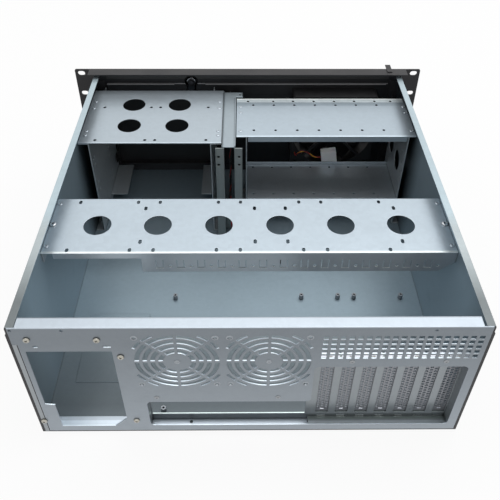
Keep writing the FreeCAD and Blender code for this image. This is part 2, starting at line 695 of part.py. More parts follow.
def handle(side):
    """Bow handle: a round bar bent twice, with a foot at each end."""
    r = 4.5
    x = side * HANDLE_X
    start = CASE_D + PANEL_T
    reach = start + HANDLE_REACH - r
    low, high = HANDLE_Z
    bend = 12.0
    diagonal = bend * (1 - math.sqrt(0.5))
    path = [V(x, Y_REAR - start, low), V(x, Y_REAR - reach + bend, low),
            V(x, Y_REAR - reach + diagonal, low + diagonal), V(x, Y_REAR - reach, low + bend),
            V(x, Y_REAR - reach, high - bend), V(x, Y_REAR - reach + diagonal, high - diagonal),
            V(x, Y_REAR - reach + bend, high), V(x, Y_REAR - start, high)]
    spine = Part.Wire([Part.makeLine(path[0], path[1]), Part.Arc(path[1], path[2], path[3]).toShape(),
                       Part.makeLine(path[3], path[4]), Part.Arc(path[4], path[5], path[6]).toShape(),
                       Part.makeLine(path[6], path[7])])
    profile = Part.Wire(Part.makeCircle(r, path[0], V(0, -1, 0)))
    bar = spine.makePipeShell([profile], True, False)
    feet = [rod((x, start, z), (x, start + 3, z), 6.5) for z in HANDLE_Z]
    taps = [rod((x, start - 1, z), (x, start + 9, z), 2.1) for z in HANDLE_Z]
    return drill(join([bar] + feet), taps)


def handle_screws():
    return [pan_screw((side * HANDLE_X, CASE_D, z), (0, 1, 0), 9.0, 1.95, 3.8)
            for side in (-1, 1) for z in HANDLE_Z]


def flange_screws():
    front = CASE_D + PANEL_T
    return [pan_screw((x, front, z), (0, -1, 0), 5.5) for x, z in FLANGE_SCREWS]


def bay_cover(index):
    """Plastic blanking cover: a dished front with two spring clips behind."""
    gap = 0.25
    x = (BAY_OPEN[0][0] + gap, BAY_OPEN[0][1] - gap)
    z = (BAY_OPEN[1][0] + gap + 41.53 * index, BAY_OPEN[1][0] + 41.53 * (index + 1) - gap)
    front = CASE_D + PANEL_T + 1.5
    body = slab(x, (CASE_D - 6, front), z)
    hollow = slab((x[0] + 2, x[1] - 2), (CASE_D - 7, front - 2.2), (z[0] + 2, z[1] - 2))
    groove = slab((x[0] + 8, x[1] - 8), (front - 0.8, front + 1), (z[0] + 4, z[0] + 6))
    clips = [slab((x[i] - 1.0 * i, x[i] + 1.0 * (1 - i)), (CASE_D - 20, CASE_D - 5), (z[0] + 14, z[0] + 26))
             for i in (0, 1)]
    return drill(join([body] + clips), [hollow, groove])


def button(r, collar, z):
    """Push button: a round cap with a collar that stops behind the panel."""
    rear = CASE_D - 0.2
    cap = rod((BUTTON_X, rear, z), (BUTTON_X, CASE_D + PANEL_T + 3.2, z), r)
    flange = rod((BUTTON_X, rear - 1.4, z), (BUTTON_X, rear, z), collar)
    return join([cap, flange])


BOARD_FRONT = CASE_D - 10.5


def control_board():
    """Circuit board behind the buttons."""
    outline = rect("rear", (10.0, 40.0), (84.0, 142.0), BOARD_FRONT - 1.6)
    holes = [circle("rear", BUTTON_X, z, 1.6, BOARD_FRONT - 1.6) for z in (88.0, 138.0)]
    return sheet("rear", outline, holes, 1.6)


def switch_bodies():
    """Tact switches, one behind each button."""
    near = CASE_D - 0.2 - 1.4 - PRESS - 0.2
    width = (BUTTON_X - 4, BUTTON_X + 4)
    return [slab(width, (BOARD_FRONT, near), (z - 4, z + 4)) for z in (POWER_Z, RESET_Z)]


def board_posts():
    """Spacers with their screws that carry the board behind the panel."""
    posts = []
    for z in (88.0, 138.0):
        post = rod((BUTTON_X, BOARD_FRONT, z), (BUTTON_X, CASE_D, z), 3.0)
        shank = rod((BUTTON_X, BOARD_FRONT, z), (BUTTON_X, BOARD_FRONT - 1.6, z), 1.5)
        head = rod((BUTTON_X, BOARD_FRONT - 1.6, z), (BUTTON_X, BOARD_FRONT - 3.4, z), 2.8)
        posts.append(join([post, shank, head]))
    return posts


def status_lights():
    """Light pipes from the board through the panel, each with a round tip."""
    lamps = []
    for x in LED_X:
        stem = rod((x, BOARD_FRONT, LED_Z), (x, CASE_D + PANEL_T + 0.6, LED_Z), 2.45)
        rim = rod((x, CASE_D - 1.4, LED_Z), (x, CASE_D - 0.1, LED_Z), 3.2)
        lamps.append(join([stem, rim]))
    return lamps


# ---------------------------------------------------------------- front door and lock
PIN_R = 2.0


def front_door():
    """Door folded from sheet, with returns at three edges and slots over the fan."""
    low, high = DOOR_X
    bottom, top = DOOR_Z
    back, front = DOOR_D
    t = front - back
    rear = 445.0
    w = back
    outline = rect("rear", (low, high), (bottom, top), w)
    holes = [circle("rear", *LOCK, 6.3, w)] + fan_slots(w)
    leaf = sheet("rear", outline, holes, t)
    chamfer = ((low, back), (low, HINGE_D), (HINGE_X, rear), (high, rear), (high, back))
    shelves = []
    for z in (bottom, top - t):
        hole = circle("flat", HINGE_X, HINGE_D, PIN_R + 0.06, z)
        shelves.append(sheet("flat", polygon("flat", chamfer, z), [hole], t))
    edge = slab((high - t, high), (rear, back), (bottom, top))
    return join([leaf, edge] + shelves)


def hinge_top():
    """Upper hinge: a plate on the panel's top fold that carries the pin."""
    z = PANEL_H
    plate = slab((HINGE_X - 3.5, HINGE_X + 3.5), (432.0, HINGE_D + 3.5), (z, z + T))
    pin = rod((HINGE_X, HINGE_D, z), (HINGE_X, HINGE_D, DOOR_Z[1] - 4), PIN_R)
    return join([plate, pin])


def hinge_bottom():
    """Lower hinge: an angle on the panel's face with a pin that stands up into the door."""
    front = CASE_D + PANEL_T
    leg = slab((HINGE_X - 5, HINGE_X + 5), (front, front + T), (0.6, 13))
    foot = slab((HINGE_X - 5, HINGE_X + 5), (front, HINGE_D + 3.5), (0.6, 0.6 + T))
    pin = rod((HINGE_X, HINGE_D, 0.6), (HINGE_X, HINGE_D, DOOR_Z[0] + 4), PIN_R)
    collar = rod((HINGE_X, HINGE_D, 0.6), (HINGE_X, HINGE_D, DOOR_Z[0]), PIN_R + 1.0)
    return join([leg, foot, pin, collar])


def lock_body():
    """Lock sleeve with a flange in front of the door."""
    x, z = LOCK
    front = DOOR_D[1]
    sleeve = rod((x, CASE_D - 1, z), (x, front, z), 6.1)
    flange = rod((x, front, z), (x, front + 2, z), 8.5)
    bore = rod((x, CASE_D - 2, z), (x, front + 3, z), 4.05)
    return drill(join([sleeve, flange]), [bore])


def lock_nut():
    """Hexagonal nut behind the door."""
    x, z = LOCK
    r = 16.0 / math.sqrt(3)
    points = []
    for k in range(6):
        turn = math.radians(60 * k)
        points.append((x + r * math.cos(turn), z + r * math.sin(turn)))
    back = DOOR_D[0] - 3
    return sheet("rear", polygon("rear", points, back), [circle("rear", x, z, 6.15, back)], 3.0)


def lock_plug():
    """Turning plug with its key slot and a squared tail for the cam."""
    x, z = LOCK
    front = DOOR_D[1] + 2.4
    barrel = rod((x, CASE_D - 1.6, z), (x, front, z), 4.0)
    tail = slab((x - 2, x + 2), (CASE_D - 3.4, CASE_D - 1.6), (z - 2, z + 2))
    key = slab((x - 0.6, x + 0.6), (front - 5, front + 1), (z - 2.8, z + 2.8))
    return drill(join([barrel, tail]), [key])


def lock_cam():
    """Cam on the plug's tail; hanging down it clears the slot in the panel."""
    x, z = LOCK
    back = CASE_D - 3.2
    half = 4.5
    bow = arc("rear", LOCK, half, 0, 180, back)
    tip = arc("rear", (x, 148.4), half, 180, 360, back)
    sides = [Part.makeLine(bow.lastVertex().Point, tip.firstVertex().Point),
             Part.makeLine(tip.lastVertex().Point, bow.firstVertex().Point)]
    outline = Part.Wire([bow, sides[0], tip, sides[1]])
    return sheet("rear", outline, [square("rear", x, z, 4.1, back)], 1.5)


def lock_screw():
    x, z = LOCK
    return rod((x, CASE_D - 3.4, z), (x, CASE_D - 5.2, z), 3.4)


# ---------------------------------------------------------------- front fan
def fan_frame():
    """Square fan frame with a round throat, four struts and a bearing boss."""
    x, z = FRONT_FAN
    half = FAN_SIZE / 2
    rear = CASE_D - FAN_T
    holes = [circle("rear", x, z, 58.0, rear)]
    reach = FAN_PITCH / 2
    holes += [circle("rear", x + i * reach, z + j * reach, 2.15, rear) for i in (-1, 1) for j in (-1, 1)]
    outline = rounded("rear", ((x - half, z - half), (x + half, z - half), (x + half, z + half),
                               (x - half, z + half)), 5.0, rear)
    shell = sheet("rear", outline, holes, FAN_T)
    boss = rod((x, rear, z), (x, rear + 4, z), 19.0)
    struts = []
    for k in range(4):
        strut = slab((x + 17, x + 59), (rear, rear + 4), (z - 2, z + 2))
        strut.rotate(V(x, 0, z), V(0, 1, 0), 45 + 90 * k)
        struts.append(strut)
    bore = rod((x, rear - 1, z), (x, rear + 10, z), 2.05)
    return drill(join([shell, boss] + struts), [bore])


def fan_rotor():
    """Fan rotor: hub, shaft and seven pitched blades."""
    x, z = FRONT_FAN
    rear = CASE_D - FAN_T
    hub = rod((x, rear + 5, z), (x, CASE_D - 2.5, z), 20.0)
    shaft = rod((x, rear + 0.5, z), (x, rear + 6, z), 2.0)
    blades = []
    for k in range(7):
        blade = slab((x - 1, x + 1), (rear + 4, CASE_D), (z + 17, z + 60))
        blade.rotate(V(x, Y_REAR - CASE_D + FAN_T / 2, z), V(0, 0, 1), 48)
        blade.rotate(V(x, 0, z), V(0, 1, 0), 360 / 7 * k)
        blades.append(blade)
    swept = rod((x, rear + 6, z), (x, CASE_D - 3.5, z), 56.0)
    bladed = Part.makeCompound(blades).common(swept)
    return join([hub, shaft] + bladed.Solids)


def fan_screws():
    x, z = FRONT_FAN
    reach = FAN_PITCH / 2
    front = CASE_D + PANEL_T
    return [pan_screw((x + i * reach, front, z + j * reach), (0, -1, 0), 8.0, 2.05, 3.8)
            for i in (-1, 1) for j in (-1, 1)]


# ---------------------------------------------------------------- leads
FAN_LEAD = ((-70.0, 415.0, 52.0), (-70.0, 406.0, 52.0), (-73.0, 401.0, 61.0), (-81.0, 398.0, 68.0),
            (-90.0, 396.5, 63.0), (-98.0, 395.6, 57.0), (-107.12, 395.6, 58.37))
FAN_LEAD_R = 1.0
PANEL_LEAD = ((25.0, 427.9, 112.0), (25.0, 412.0, 112.0), (25.0, 396.0, 98.0), (25.0, 380.0, 74.0),
              (24.8, 358.0, 56.0), (24.5, 332.0, 50.0), (24.3, 307.0, 57.0), (24.2, 284.0, 55.0),
              (21.5, 269.0, 39.0), (14.5, 258.0, 22.0), (4.0, 251.0, 7.0), (-9.5, 246.0, 3.0),
              (-21.0, 243.0, 4.2), (-31.0, 243.0, 4.2))
PANEL_LEAD_R = 1.6


def cord(points, r):
    """Round lead along straight runs joined by the largest tangent arcs that fit."""
    route = [V(x, Y_REAR - d, z) for x, d, z in points]
    edges = []
    last = route[0]
    for i in range(1, len(route) - 1):
        back = route[i - 1] - route[i]
        ahead = route[i + 1] - route[i]
        shorter = min(back.Length, ahead.Length)
        back.normalize()
        ahead.normalize()
        reach = 0.45 * shorter
        start = route[i] + back * reach
        end = route[i] + ahead * reach
        half_turn = (math.pi - back.getAngle(ahead)) / 2
        radius = reach / math.tan(half_turn)
        bisector = back + ahead
        bisector.normalize()
        centre = route[i] + bisector * (radius / math.cos(half_turn))
        edges += [Part.makeLine(last, start), Part.Arc(start, centre - bisector * radius, end).toShape()]
        last = end
    edges.append(Part.makeLine(last, route[-1]))
    profile = Part.Wire(Part.makeCircle(r, route[0], route[1] - route[0]))
    return Part.Wire(edges).makePipeShell([profile], True, False)


PLUG_AT = (-118.0, 395.6, 60.0)
PLUG_TILT = 8.5


def fan_plug():
    """Four-way plug of the fan lead, tucked between the lower plate's lip and the fan."""
    x, d, z = PLUG_AT
    body = slab((x - 11, x + 11), (d - 4.5, d + 4.5), (z - 11, z + 11))
    pins = [rod((x - 12, d, z - 7.2 + 4.8 * k), (x, d, z - 7.2 + 4.8 * k), 1.5) for k in range(4)]
    plug = drill(body, pins)
    plug.rotate(V(x, Y_REAR - d, z), V(0, 1, 0), PLUG_TILT)
    return plug


def panel_plug():
    """Flat connector at the end of the panel lead, on the floor."""
    near, middle, _ = PANEL_LEAD[-1]
    far = near - 12.0
    body = slab((far, near), (middle - 7.0, middle + 7.0), (T, T + 6.0))
    sockets = [slab((far - 1, far + 6), (middle - 5.5 + 4.4 * k, middle - 3.0 + 4.4 * k), (T + 1.5, T + 4.5))
               for k in range(3)]
    return drill(body, sockets)


# ---------------------------------------------------------------- write every node
NODES = {
    "chassis_base": chassis_base, "standoffs": standoffs, "rear_panel": rear_panel,
    "io_slot_tray": io_slot_tray, "cover_screws": cover_screws, "rear_screws": rear_screws,
    "rivets": rivets, "fan_bracket": fan_bracket, "bracket_screws": bracket_screws,
    "bay_top": bay_top, "drive_top": drive_top, "drive_floor": drive_floor,
    "centre_post": centre_post, "centre_channel": centre_channel, "front_panel": front_panel,
    "handle_screws": handle_screws, "flange_screws": flange_screws, "control_board": control_board,
    "switch_bodies": switch_bodies, "board_posts": board_posts, "status_lights": status_lights,
    "front_door": front_door, "hinge_top": hinge_top, "hinge_bottom": hinge_bottom,
    "lock_body": lock_body, "lock_nut": lock_nut, "lock_plug": lock_plug, "lock_cam": lock_cam,
    "lock_screw": lock_screw, "fan_frame": fan_frame, "fan_rotor": fan_rotor,
    "fan_screws": fan_screws, "fan_plug": fan_plug, "panel_plug": panel_plug,
}

for name, build in NODES.items():
    export(name, build())

for number, x in enumerate(slot_centres(), 1):
    export("slot_cover_%d" % number, slot_cover(x))
for number in range(3):
    export("bay_cover_%d" % (number + 1), bay_cover(number))
for index, side in enumerate(("left", "right")):
    sign = (-1, 1)[index]
    export("bracket_ledge_" + side, bracket_ledge(sign))
    export("bay_side_" + side, bay_side(index))
    export("bay_ledge_" + side, bay_ledge(index))
    export("drive_side_" + side, drive_side(index))
    export("handle_" + side, handle(sign))
export("power_button", button(5.9, 7.4, POWER_Z))
export("reset_button", button(3.4, 5.0, RESET_Z))
export("fan_lead", cord(FAN_LEAD, FAN_LEAD_R))
export("panel_lead", cord(PANEL_LEAD, PANEL_LEAD_R))
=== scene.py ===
"""Empty four-unit rackmount server case with its lid off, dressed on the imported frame.

Metres, in the part's own frame: +X to the right as seen from the front, +Y to the rear, +Z up.
"""
import bpy
import bmesh
import math
from mathutils import Matrix, Vector


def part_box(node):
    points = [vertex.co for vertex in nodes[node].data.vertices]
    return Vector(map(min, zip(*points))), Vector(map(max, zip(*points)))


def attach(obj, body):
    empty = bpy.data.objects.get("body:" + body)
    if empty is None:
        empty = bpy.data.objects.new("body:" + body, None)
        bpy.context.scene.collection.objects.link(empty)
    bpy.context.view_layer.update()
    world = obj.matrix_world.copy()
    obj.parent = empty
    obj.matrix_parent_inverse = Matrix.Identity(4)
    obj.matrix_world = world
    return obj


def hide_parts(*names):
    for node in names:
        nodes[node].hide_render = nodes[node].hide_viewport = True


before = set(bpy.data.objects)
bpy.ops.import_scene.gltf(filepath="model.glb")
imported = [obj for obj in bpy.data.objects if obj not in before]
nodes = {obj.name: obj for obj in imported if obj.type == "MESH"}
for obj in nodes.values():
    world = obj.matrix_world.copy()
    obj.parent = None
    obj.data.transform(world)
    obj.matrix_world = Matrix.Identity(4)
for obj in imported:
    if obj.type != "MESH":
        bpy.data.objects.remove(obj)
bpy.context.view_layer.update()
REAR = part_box("rear_panel")[1].y
X, Y, Z = 0, 1, 2
ROLLED = (25.0, 700.0, 700.0)   # the mill's marks run along X


# ------------------------------------------------------------------ chassis
# One floor and two walls folded from zinc-coated steel sheet, with the rear panel and the card
# recess riveted in.  The coat is satin, with a faint crystal figure and the mill's rolling marks;
# painted highlights lie along its edges, painted shade in its seams and corners, and zones of
# painted light and shade on its faces.  Outside faces are sprayed black.
def fill_inputs(tree, made, values):
    """Give a node its inputs, as values or as sockets to link from."""
    for socket, value in values.items():
        if isinstance(value, bpy.types.NodeSocket):
            tree.links.new(value, made.inputs[socket])
        else:
            made.inputs[socket].default_value = value


def node(tree, kind, values=None, **settings):
    made = tree.nodes.new(kind)
    for name, value in settings.items():
        setattr(made, name, value)
    fill_inputs(tree, made, values or {})
    return made


def maths(tree, operation, a, b=0.0, c=0.0):
    return node(tree, "ShaderNodeMath", {0: a, 1: b, 2: c}, operation=operation).outputs[0]


def times(tree, a, b):
    return maths(tree, "MULTIPLY", a, b)


def plus(tree, a, b):
    return maths(tree, "ADD", a, b)


def either(tree, a, b):
    return maths(tree, "MAXIMUM", a, b)


def object_place(tree):
    return node(tree, "ShaderNodeTexCoord").outputs["Object"]


def split(tree, vector):
    return node(tree, "ShaderNodeSeparateXYZ", {0: vector}).outputs


def upness(tree, low, high):
    """Mask of the faces that look up."""
    facing = split(tree, node(tree, "ShaderNodeNewGeometry").outputs["Normal"])
    return spread(tree, facing[Z], low, high)


def crevices(tree, reach, low, high, strength):
    """Mask of the seams and corners that little light reaches."""
    open_share = node(tree, "ShaderNodeAmbientOcclusion", {"Distance": reach}, samples=8).outputs["AO"]
    return spread(tree, open_share, low, high, strength, 0.0)


def bumped(tree, height, strength, distance=0.0001, **normal):
    return node(tree, "ShaderNodeBump", {"Strength": strength, "Distance": distance, "Height": height,
                                         **normal}).outputs[0]


def mixed(tree, factor, a, b, blend="MIX"):
    return node(tree, "ShaderNodeMix", {0: factor, 6: a, 7: b}, data_type="RGBA",
                blend_type=blend).outputs[2]


def spread(tree, value, low, high, start=0.0, end=1.0):
    """Value from low to high, carried to start to end and held there."""
    return node(tree, "ShaderNodeMapRange", {0: value, 1: low, 2: high, 3: start, 4: end}).outputs[0]


def noise(tree, place, scale, detail=2.0, rough=0.5):
    return node(tree, "ShaderNodeTexNoise",
                {"Vector": place, "Scale": scale, "Detail": detail, "Roughness": rough}).outputs["Fac"]


def shader_group(name, inputs, outputs):
    tree = bpy.data.node_groups.new(name, "ShaderNodeTree")
    for label, kind, value in inputs:
        tree.interface.new_socket(label, in_out="INPUT", socket_type=kind).default_value = value
    for label, kind in outputs:
        tree.interface.new_socket(label, in_out="OUTPUT", socket_type=kind)
    return tree, tree.nodes.new("NodeGroupInput").outputs, tree.nodes.new("NodeGroupOutput").inputs


def rounded_edges():
    """Rounded normal along sharp edges, and a mask of those edges, which the materials use for
    painted highlights and shade and for rubbed paler corners.
    """
    tree, given, out = shader_group("rounded_edges", [("Radius", "NodeSocketFloat", 0.0005)],
                                    [("Normal", "NodeSocketVector"), ("Edge", "NodeSocketFloat")])
    round_off = node(tree, "ShaderNodeBevel", {"Radius": given["Radius"]}, samples=6)
    flat = node(tree, "ShaderNodeNewGeometry")
    same = node(tree, "ShaderNodeVectorMath", {0: round_off.outputs[0], 1: flat.outputs["Normal"]},
                operation="DOT_PRODUCT").outputs["Value"]
    tree.links.new(round_off.outputs[0], out["Normal"])
    tree.links.new(spread(tree, same, 0.995, 0.85), out["Edge"])
    return tree


def zinc_figure():
    """Crystal figure and rolling marks of the coat, dull handling marks, and its fine grain."""
    tree, given, out = shader_group(
        "zinc_figure", [("Crystal", "NodeSocketFloat", 240.0)],
        [("Tone", "NodeSocketFloat"), ("Marks", "NodeSocketFloat"), ("Height", "NodeSocketFloat")])
    place = object_place(tree)
    cells = node(tree, "ShaderNodeTexVoronoi", {"Vector": place, "Scale": given["Crystal"]})
    cell = node(tree, "ShaderNodeSeparateColor", {0: cells.outputs["Color"]}).outputs[0]
    stretched = node(tree, "ShaderNodeVectorMath", {0: place, 1: ROLLED}, operation="MULTIPLY")
    streaks = noise(tree, stretched.outputs[0], 1.0, 2.0)
    cloud = noise(tree, place, 14.0, 3.0, 0.6)
    tone = plus(tree, times(tree, cell, 0.35), times(tree, streaks, 0.3))
    tone = plus(tree, tone, times(tree, cloud, 0.35))
    scuffs = noise(tree, place, 46.0, 5.0, 0.7)
    tree.links.new(tone, out["Tone"])
    handled = times(tree, spread(tree, scuffs, 0.50, 0.68), spread(tree, cloud, 0.42, 0.6))
    tree.links.new(handled, out["Marks"])
    tree.links.new(plus(tree, noise(tree, place, 2600.0, 2.0), times(tree, streaks, 0.6)), out["Height"])
    return tree


EDGES = rounded_edges()
ZINC = zinc_figure()
SHEEN = 0.6                 # the matt oxide film hides part of the bare metal
BLACK = (0.014, 0.014, 0.016)

# where the black spray lies on the zinc sheet, and the painted shade line at the rear panel's joint
WALL_OUT = 0.21405          # outer faces of the walls
LID_STEP = 0.2135           # upright of the lid flange, between the two heights
LID_LOW = 0.1617
LID_HIGH = 0.1702
FRONT_FOLD = REAR - 0.4384
CUT_EDGE = REAR - 0.0011    # cut rear edges of the walls
CORNER = 0.2121
JOINT_X = 0.2077            # joint of rear panel and wall
JOINT_HALF = 0.0004
JOINT_TOP = 0.1475


def grouped(tree, group, **values):
    """Outputs of a shader group in a material, with its uniform numbers on its own inputs."""
    made = node(tree, "ShaderNodeGroup", node_tree=group)
    fill_inputs(tree, made, values)
    return made.outputs


def new_material(name):
    material = bpy.data.materials.new(name)
    material.use_nodes = True
    tree = material.node_tree
    tree.nodes.clear()
    shader = tree.nodes.new("ShaderNodeBsdfPrincipled")
    node(tree, "ShaderNodeOutputMaterial", {0: shader.outputs[0]})
    return material, tree, shader


def shade(colour, factor):
    return tuple(min(1.0, c * factor) for c in colour[:3]) + (1.0,)


def sprayed_outside(tree, foot):
    """Mask of the black spray: beyond the walls, below foot, on the front folds and rear edges;
    with it a thin painted shade line along the joint of rear panel and wall.
    """
    place = object_place(tree)
    apart = split(tree, place)
    ragged = times(tree, maths(tree, "SUBTRACT", noise(tree, place, 300.0), 0.5), 0.0004)
    side = plus(tree, maths(tree, "ABSOLUTE", apart[X]), ragged)
    above = times(tree, maths(tree, "GREATER_THAN", side, LID_STEP),
                  times(tree, maths(tree, "GREATER_THAN", apart[Z], LID_LOW),
                        maths(tree, "LESS_THAN", apart[Z], LID_HIGH)))
    under = maths(tree, "LESS_THAN", plus(tree, apart[Z], ragged), foot)
    front = maths(tree, "LESS_THAN", plus(tree, apart[Y], ragged), FRONT_FOLD)
    # painted shade: a thin dark line along the joint of rear panel and wall stands for the shade of a gap
    # there
    joint = times(tree, maths(tree, "COMPARE", apart[X], JOINT_X, JOINT_HALF),
                  maths(tree, "LESS_THAN", apart[Z], JOINT_TOP))
    rear_edge = times(tree, maths(tree, "GREATER_THAN", apart[Y], CUT_EDGE),
                      either(tree, joint, maths(tree, "GREATER_THAN", side, CORNER)))
    outer = maths(tree, "GREATER_THAN", side, WALL_OUT)
    for mask in (front, above, under, rear_edge):
        outer = either(tree, outer, mask)
    return outer


def tint(value):
    return tuple(value if isinstance(value, tuple) else (value,) * 3) + (1.0,)


def zinc_steel(name, colour, rough, crystal=240.0, edge=1.25, painted_light_zones=(), foot=None):
    """Satin zinc coat; with foot, the outside and what lies below foot are sprayed black.

    Each zone paints light or shade: it drifts from one tone to another along an axis, and gives
    which faces (upward or upright), the axis, where the drift starts and ends, and the tones on both
    sides of it.  edge sets a painted highlight (above 1) or painted shade (below 1) along sharp
    edges, and seams and corners get painted shade.
    """
    material, tree, shader = new_material(name)
    edges = grouped(tree, EDGES, Radius=0.0006)
    coat = grouped(tree, ZINC, Crystal=crystal)
    tone, marks, height = (coat[k] for k in ("Tone", "Marks", "Height"))
    base = mixed(tree, tone, shade(colour, 0.94), shade(colour, 1.06))
    base = mixed(tree, times(tree, marks, 0.15), base, shade(colour, 0.80))
    # painted highlight (edge above 1) or painted shade (edge below 1) along sharp edges
    base = mixed(tree, times(tree, edges["Edge"], 0.6), base, shade(colour, edge))
    # painted shade in seams and corners, from the ambient occlusion mask
    base = mixed(tree, crevices(tree, 0.0025, 0.25, 0.85, 0.75), base, shade(colour, 0.15))
    apart = split(tree, object_place(tree))
    upward = upness(tree, 0.3, 0.9)
    chosen = {"upward": upward, "upright": maths(tree, "SUBTRACT", 1.0, upward)}
    # each zone paints light or shade on the upward or upright faces it chooses
    for faces, axis, low, high, first, last in painted_light_zones:
        drift = mixed(tree, spread(tree, apart[axis], low, high), tint(first), tint(last))
        base = mixed(tree, chosen[faces], base, mixed(tree, 1.0, base, drift, "MULTIPLY"))
    rubbed = plus(tree, spread(tree, tone, 0.3, 0.7, rough - 0.02, rough + 0.02), times(tree, marks, 0.06))
    metal = SHEEN
    if foot:
        black = sprayed_outside(tree, foot)
        base = mixed(tree, black, base, tint(BLACK))
        rubbed = either(tree, rubbed, times(tree, black, 0.5))
        metal = times(tree, maths(tree, "SUBTRACT", 1.0, black), SHEEN)
    fill_inputs(tree, shader, {
        "Base Color": base, "Metallic": metal, "Roughness": rubbed,
        "Normal": bumped(tree, height, 0.02, 0.0002, Normal=edges["Normal"])})
    return material


def dress(material, *names):
    """Give CAD nodes a material in place of their own."""
    for name in names:
        slots = nodes[name].data.materials
        for i in range(len(slots)):
            slots[i] = material
        if not slots:
            slots.append(material)


# Painted light on the chassis: painted shadow of the rear panel on the floor near it, painted highlights on
# the wall tops and the rear cut faces, painted shade on the walls beyond the cages and near the rear.
dress(zinc_steel("chassis_steel", (0.31, 0.40, 0.46), 0.38, foot=0.0003, painted_light_zones=(
    ("upward", Y, REAR - 0.150, REAR - 0.125, 1.0, (0.94, 0.87, 0.83)),
    ("upward", Y, REAR - 0.100, REAR - 0.030, 1.0, 0.38),
    ("upward", Z, 0.150, 0.165, 1.0, (1.45, 1.36, 1.28)),
    ("upright", Y, REAR - 0.330, REAR - 0.275, 0.13, 1.0),
    ("upright", Y, REAR - 0.060, REAR - 0.020, 1.0, 0.6),
    ("upright", Y, REAR - 0.0014, REAR - 0.0010, 1.0, (1.85, 1.55, 1.42)))), "chassis_base")
# Painted light on the rear panel: upright faces darker towards the top as a painted reflection, upward
# faces painted brighter, most on the low ledges and at the rear face's edge.
dress(zinc_steel("rear_panel_steel", (0.32, 0.36, 0.40), 0.36, foot=0.0016, painted_light_zones=(
    ("upright", Z, 0.0, 0.15, 1.12, 0.70),
    ("upward", Z, 0.004, 0.010, 1.45, 1.9),
    ("upward", Z, 0.160, 0.168, 1.0, 0.55),
    ("upward", Y, REAR - 0.0112, REAR - 0.0104, 1.0, 1.35))), "rear_panel")
# Painted light on the recess: painted shadow on the upright faces below the opening, and upward faces
# painted brighter or darker by height and depth as they are lit.
dress(zinc_steel("recess_steel", (0.30, 0.33, 0.35), 0.34, painted_light_zones=(
    ("upright", Z, 0.0105, 0.0120, 0.5, 1.0),
    ("upward", Z, 0.0064, 0.0068, 4.0, 1.0),
    ("upward", Z, 0.0072, 0.0080, 0.25, 2.3),
    ("upward", Z, 0.0134, 0.0142, 1.0, 0.42),
    ("upward", Y, REAR - 0.0092, REAR - 0.0082, (1.0, 1.06, 0.98), 1.3),
    ("upward", Y, REAR - 0.0076, REAR - 0.0066, 1.0, 1.6))), "io_slot_tray")
dress(zinc_steel("post_steel", (0.34, 0.37, 0.40), 0.42, crystal=500.0), "standoffs")


# ------------------------------------------------------------------ card slot covers
# Seven blanking covers pressed from thin zinc-coated sheet.  Each has three staggered columns of
# six-sided holes and a short slot at its foot, and hooks over the ledge, where one screw holds it.
MERGE = 2e-6                # points nearer than this are one


def geometry_tree(name, inputs):
    """Empty Geometry Nodes tree with named inputs, and its input and output nodes."""
    tree = bpy.data.node_groups.new(name, "GeometryNodeTree")
    tree.interface.new_socket("Given", in_out="INPUT", socket_type="NodeSocketGeometry")
    for label, kind in inputs:
        tree.interface.new_socket(label, in_out="INPUT", socket_type=kind)
    tree.interface.new_socket("Made", in_out="OUTPUT", socket_type="NodeSocketGeometry")
    return tree, tree.nodes.new("NodeGroupInput").outputs, tree.nodes.new("NodeGroupOutput").inputs


def finish_tree(tree, geometry, given, out):
    """Give what the tree makes its finish, and hand it out."""
    coated = node(tree, "GeometryNodeSetMaterial", {"Geometry": geometry, "Material": given["Finish"]})
    tree.links.new(coated.outputs[0], out["Made"])
    return tree


def copies_on(tree, points, values):
    """Real copies of an instance on points."""
    copies = node(tree, "GeometryNodeInstanceOnPoints", {"Points": points, **values})
    return node(tree, "GeometryNodeRealizeInstances", {0: copies.outputs[0]}).outputs[0]


def joined(tree, *parts):
    whole = tree.nodes.new("GeometryNodeJoinGeometry")
    for part in parts:
        tree.links.new(part, whole.inputs[0])
    return node(tree, "GeometryNodeMergeByDistance",
                {"Geometry": whole.outputs[0], "Distance": MERGE}).outputs[0]


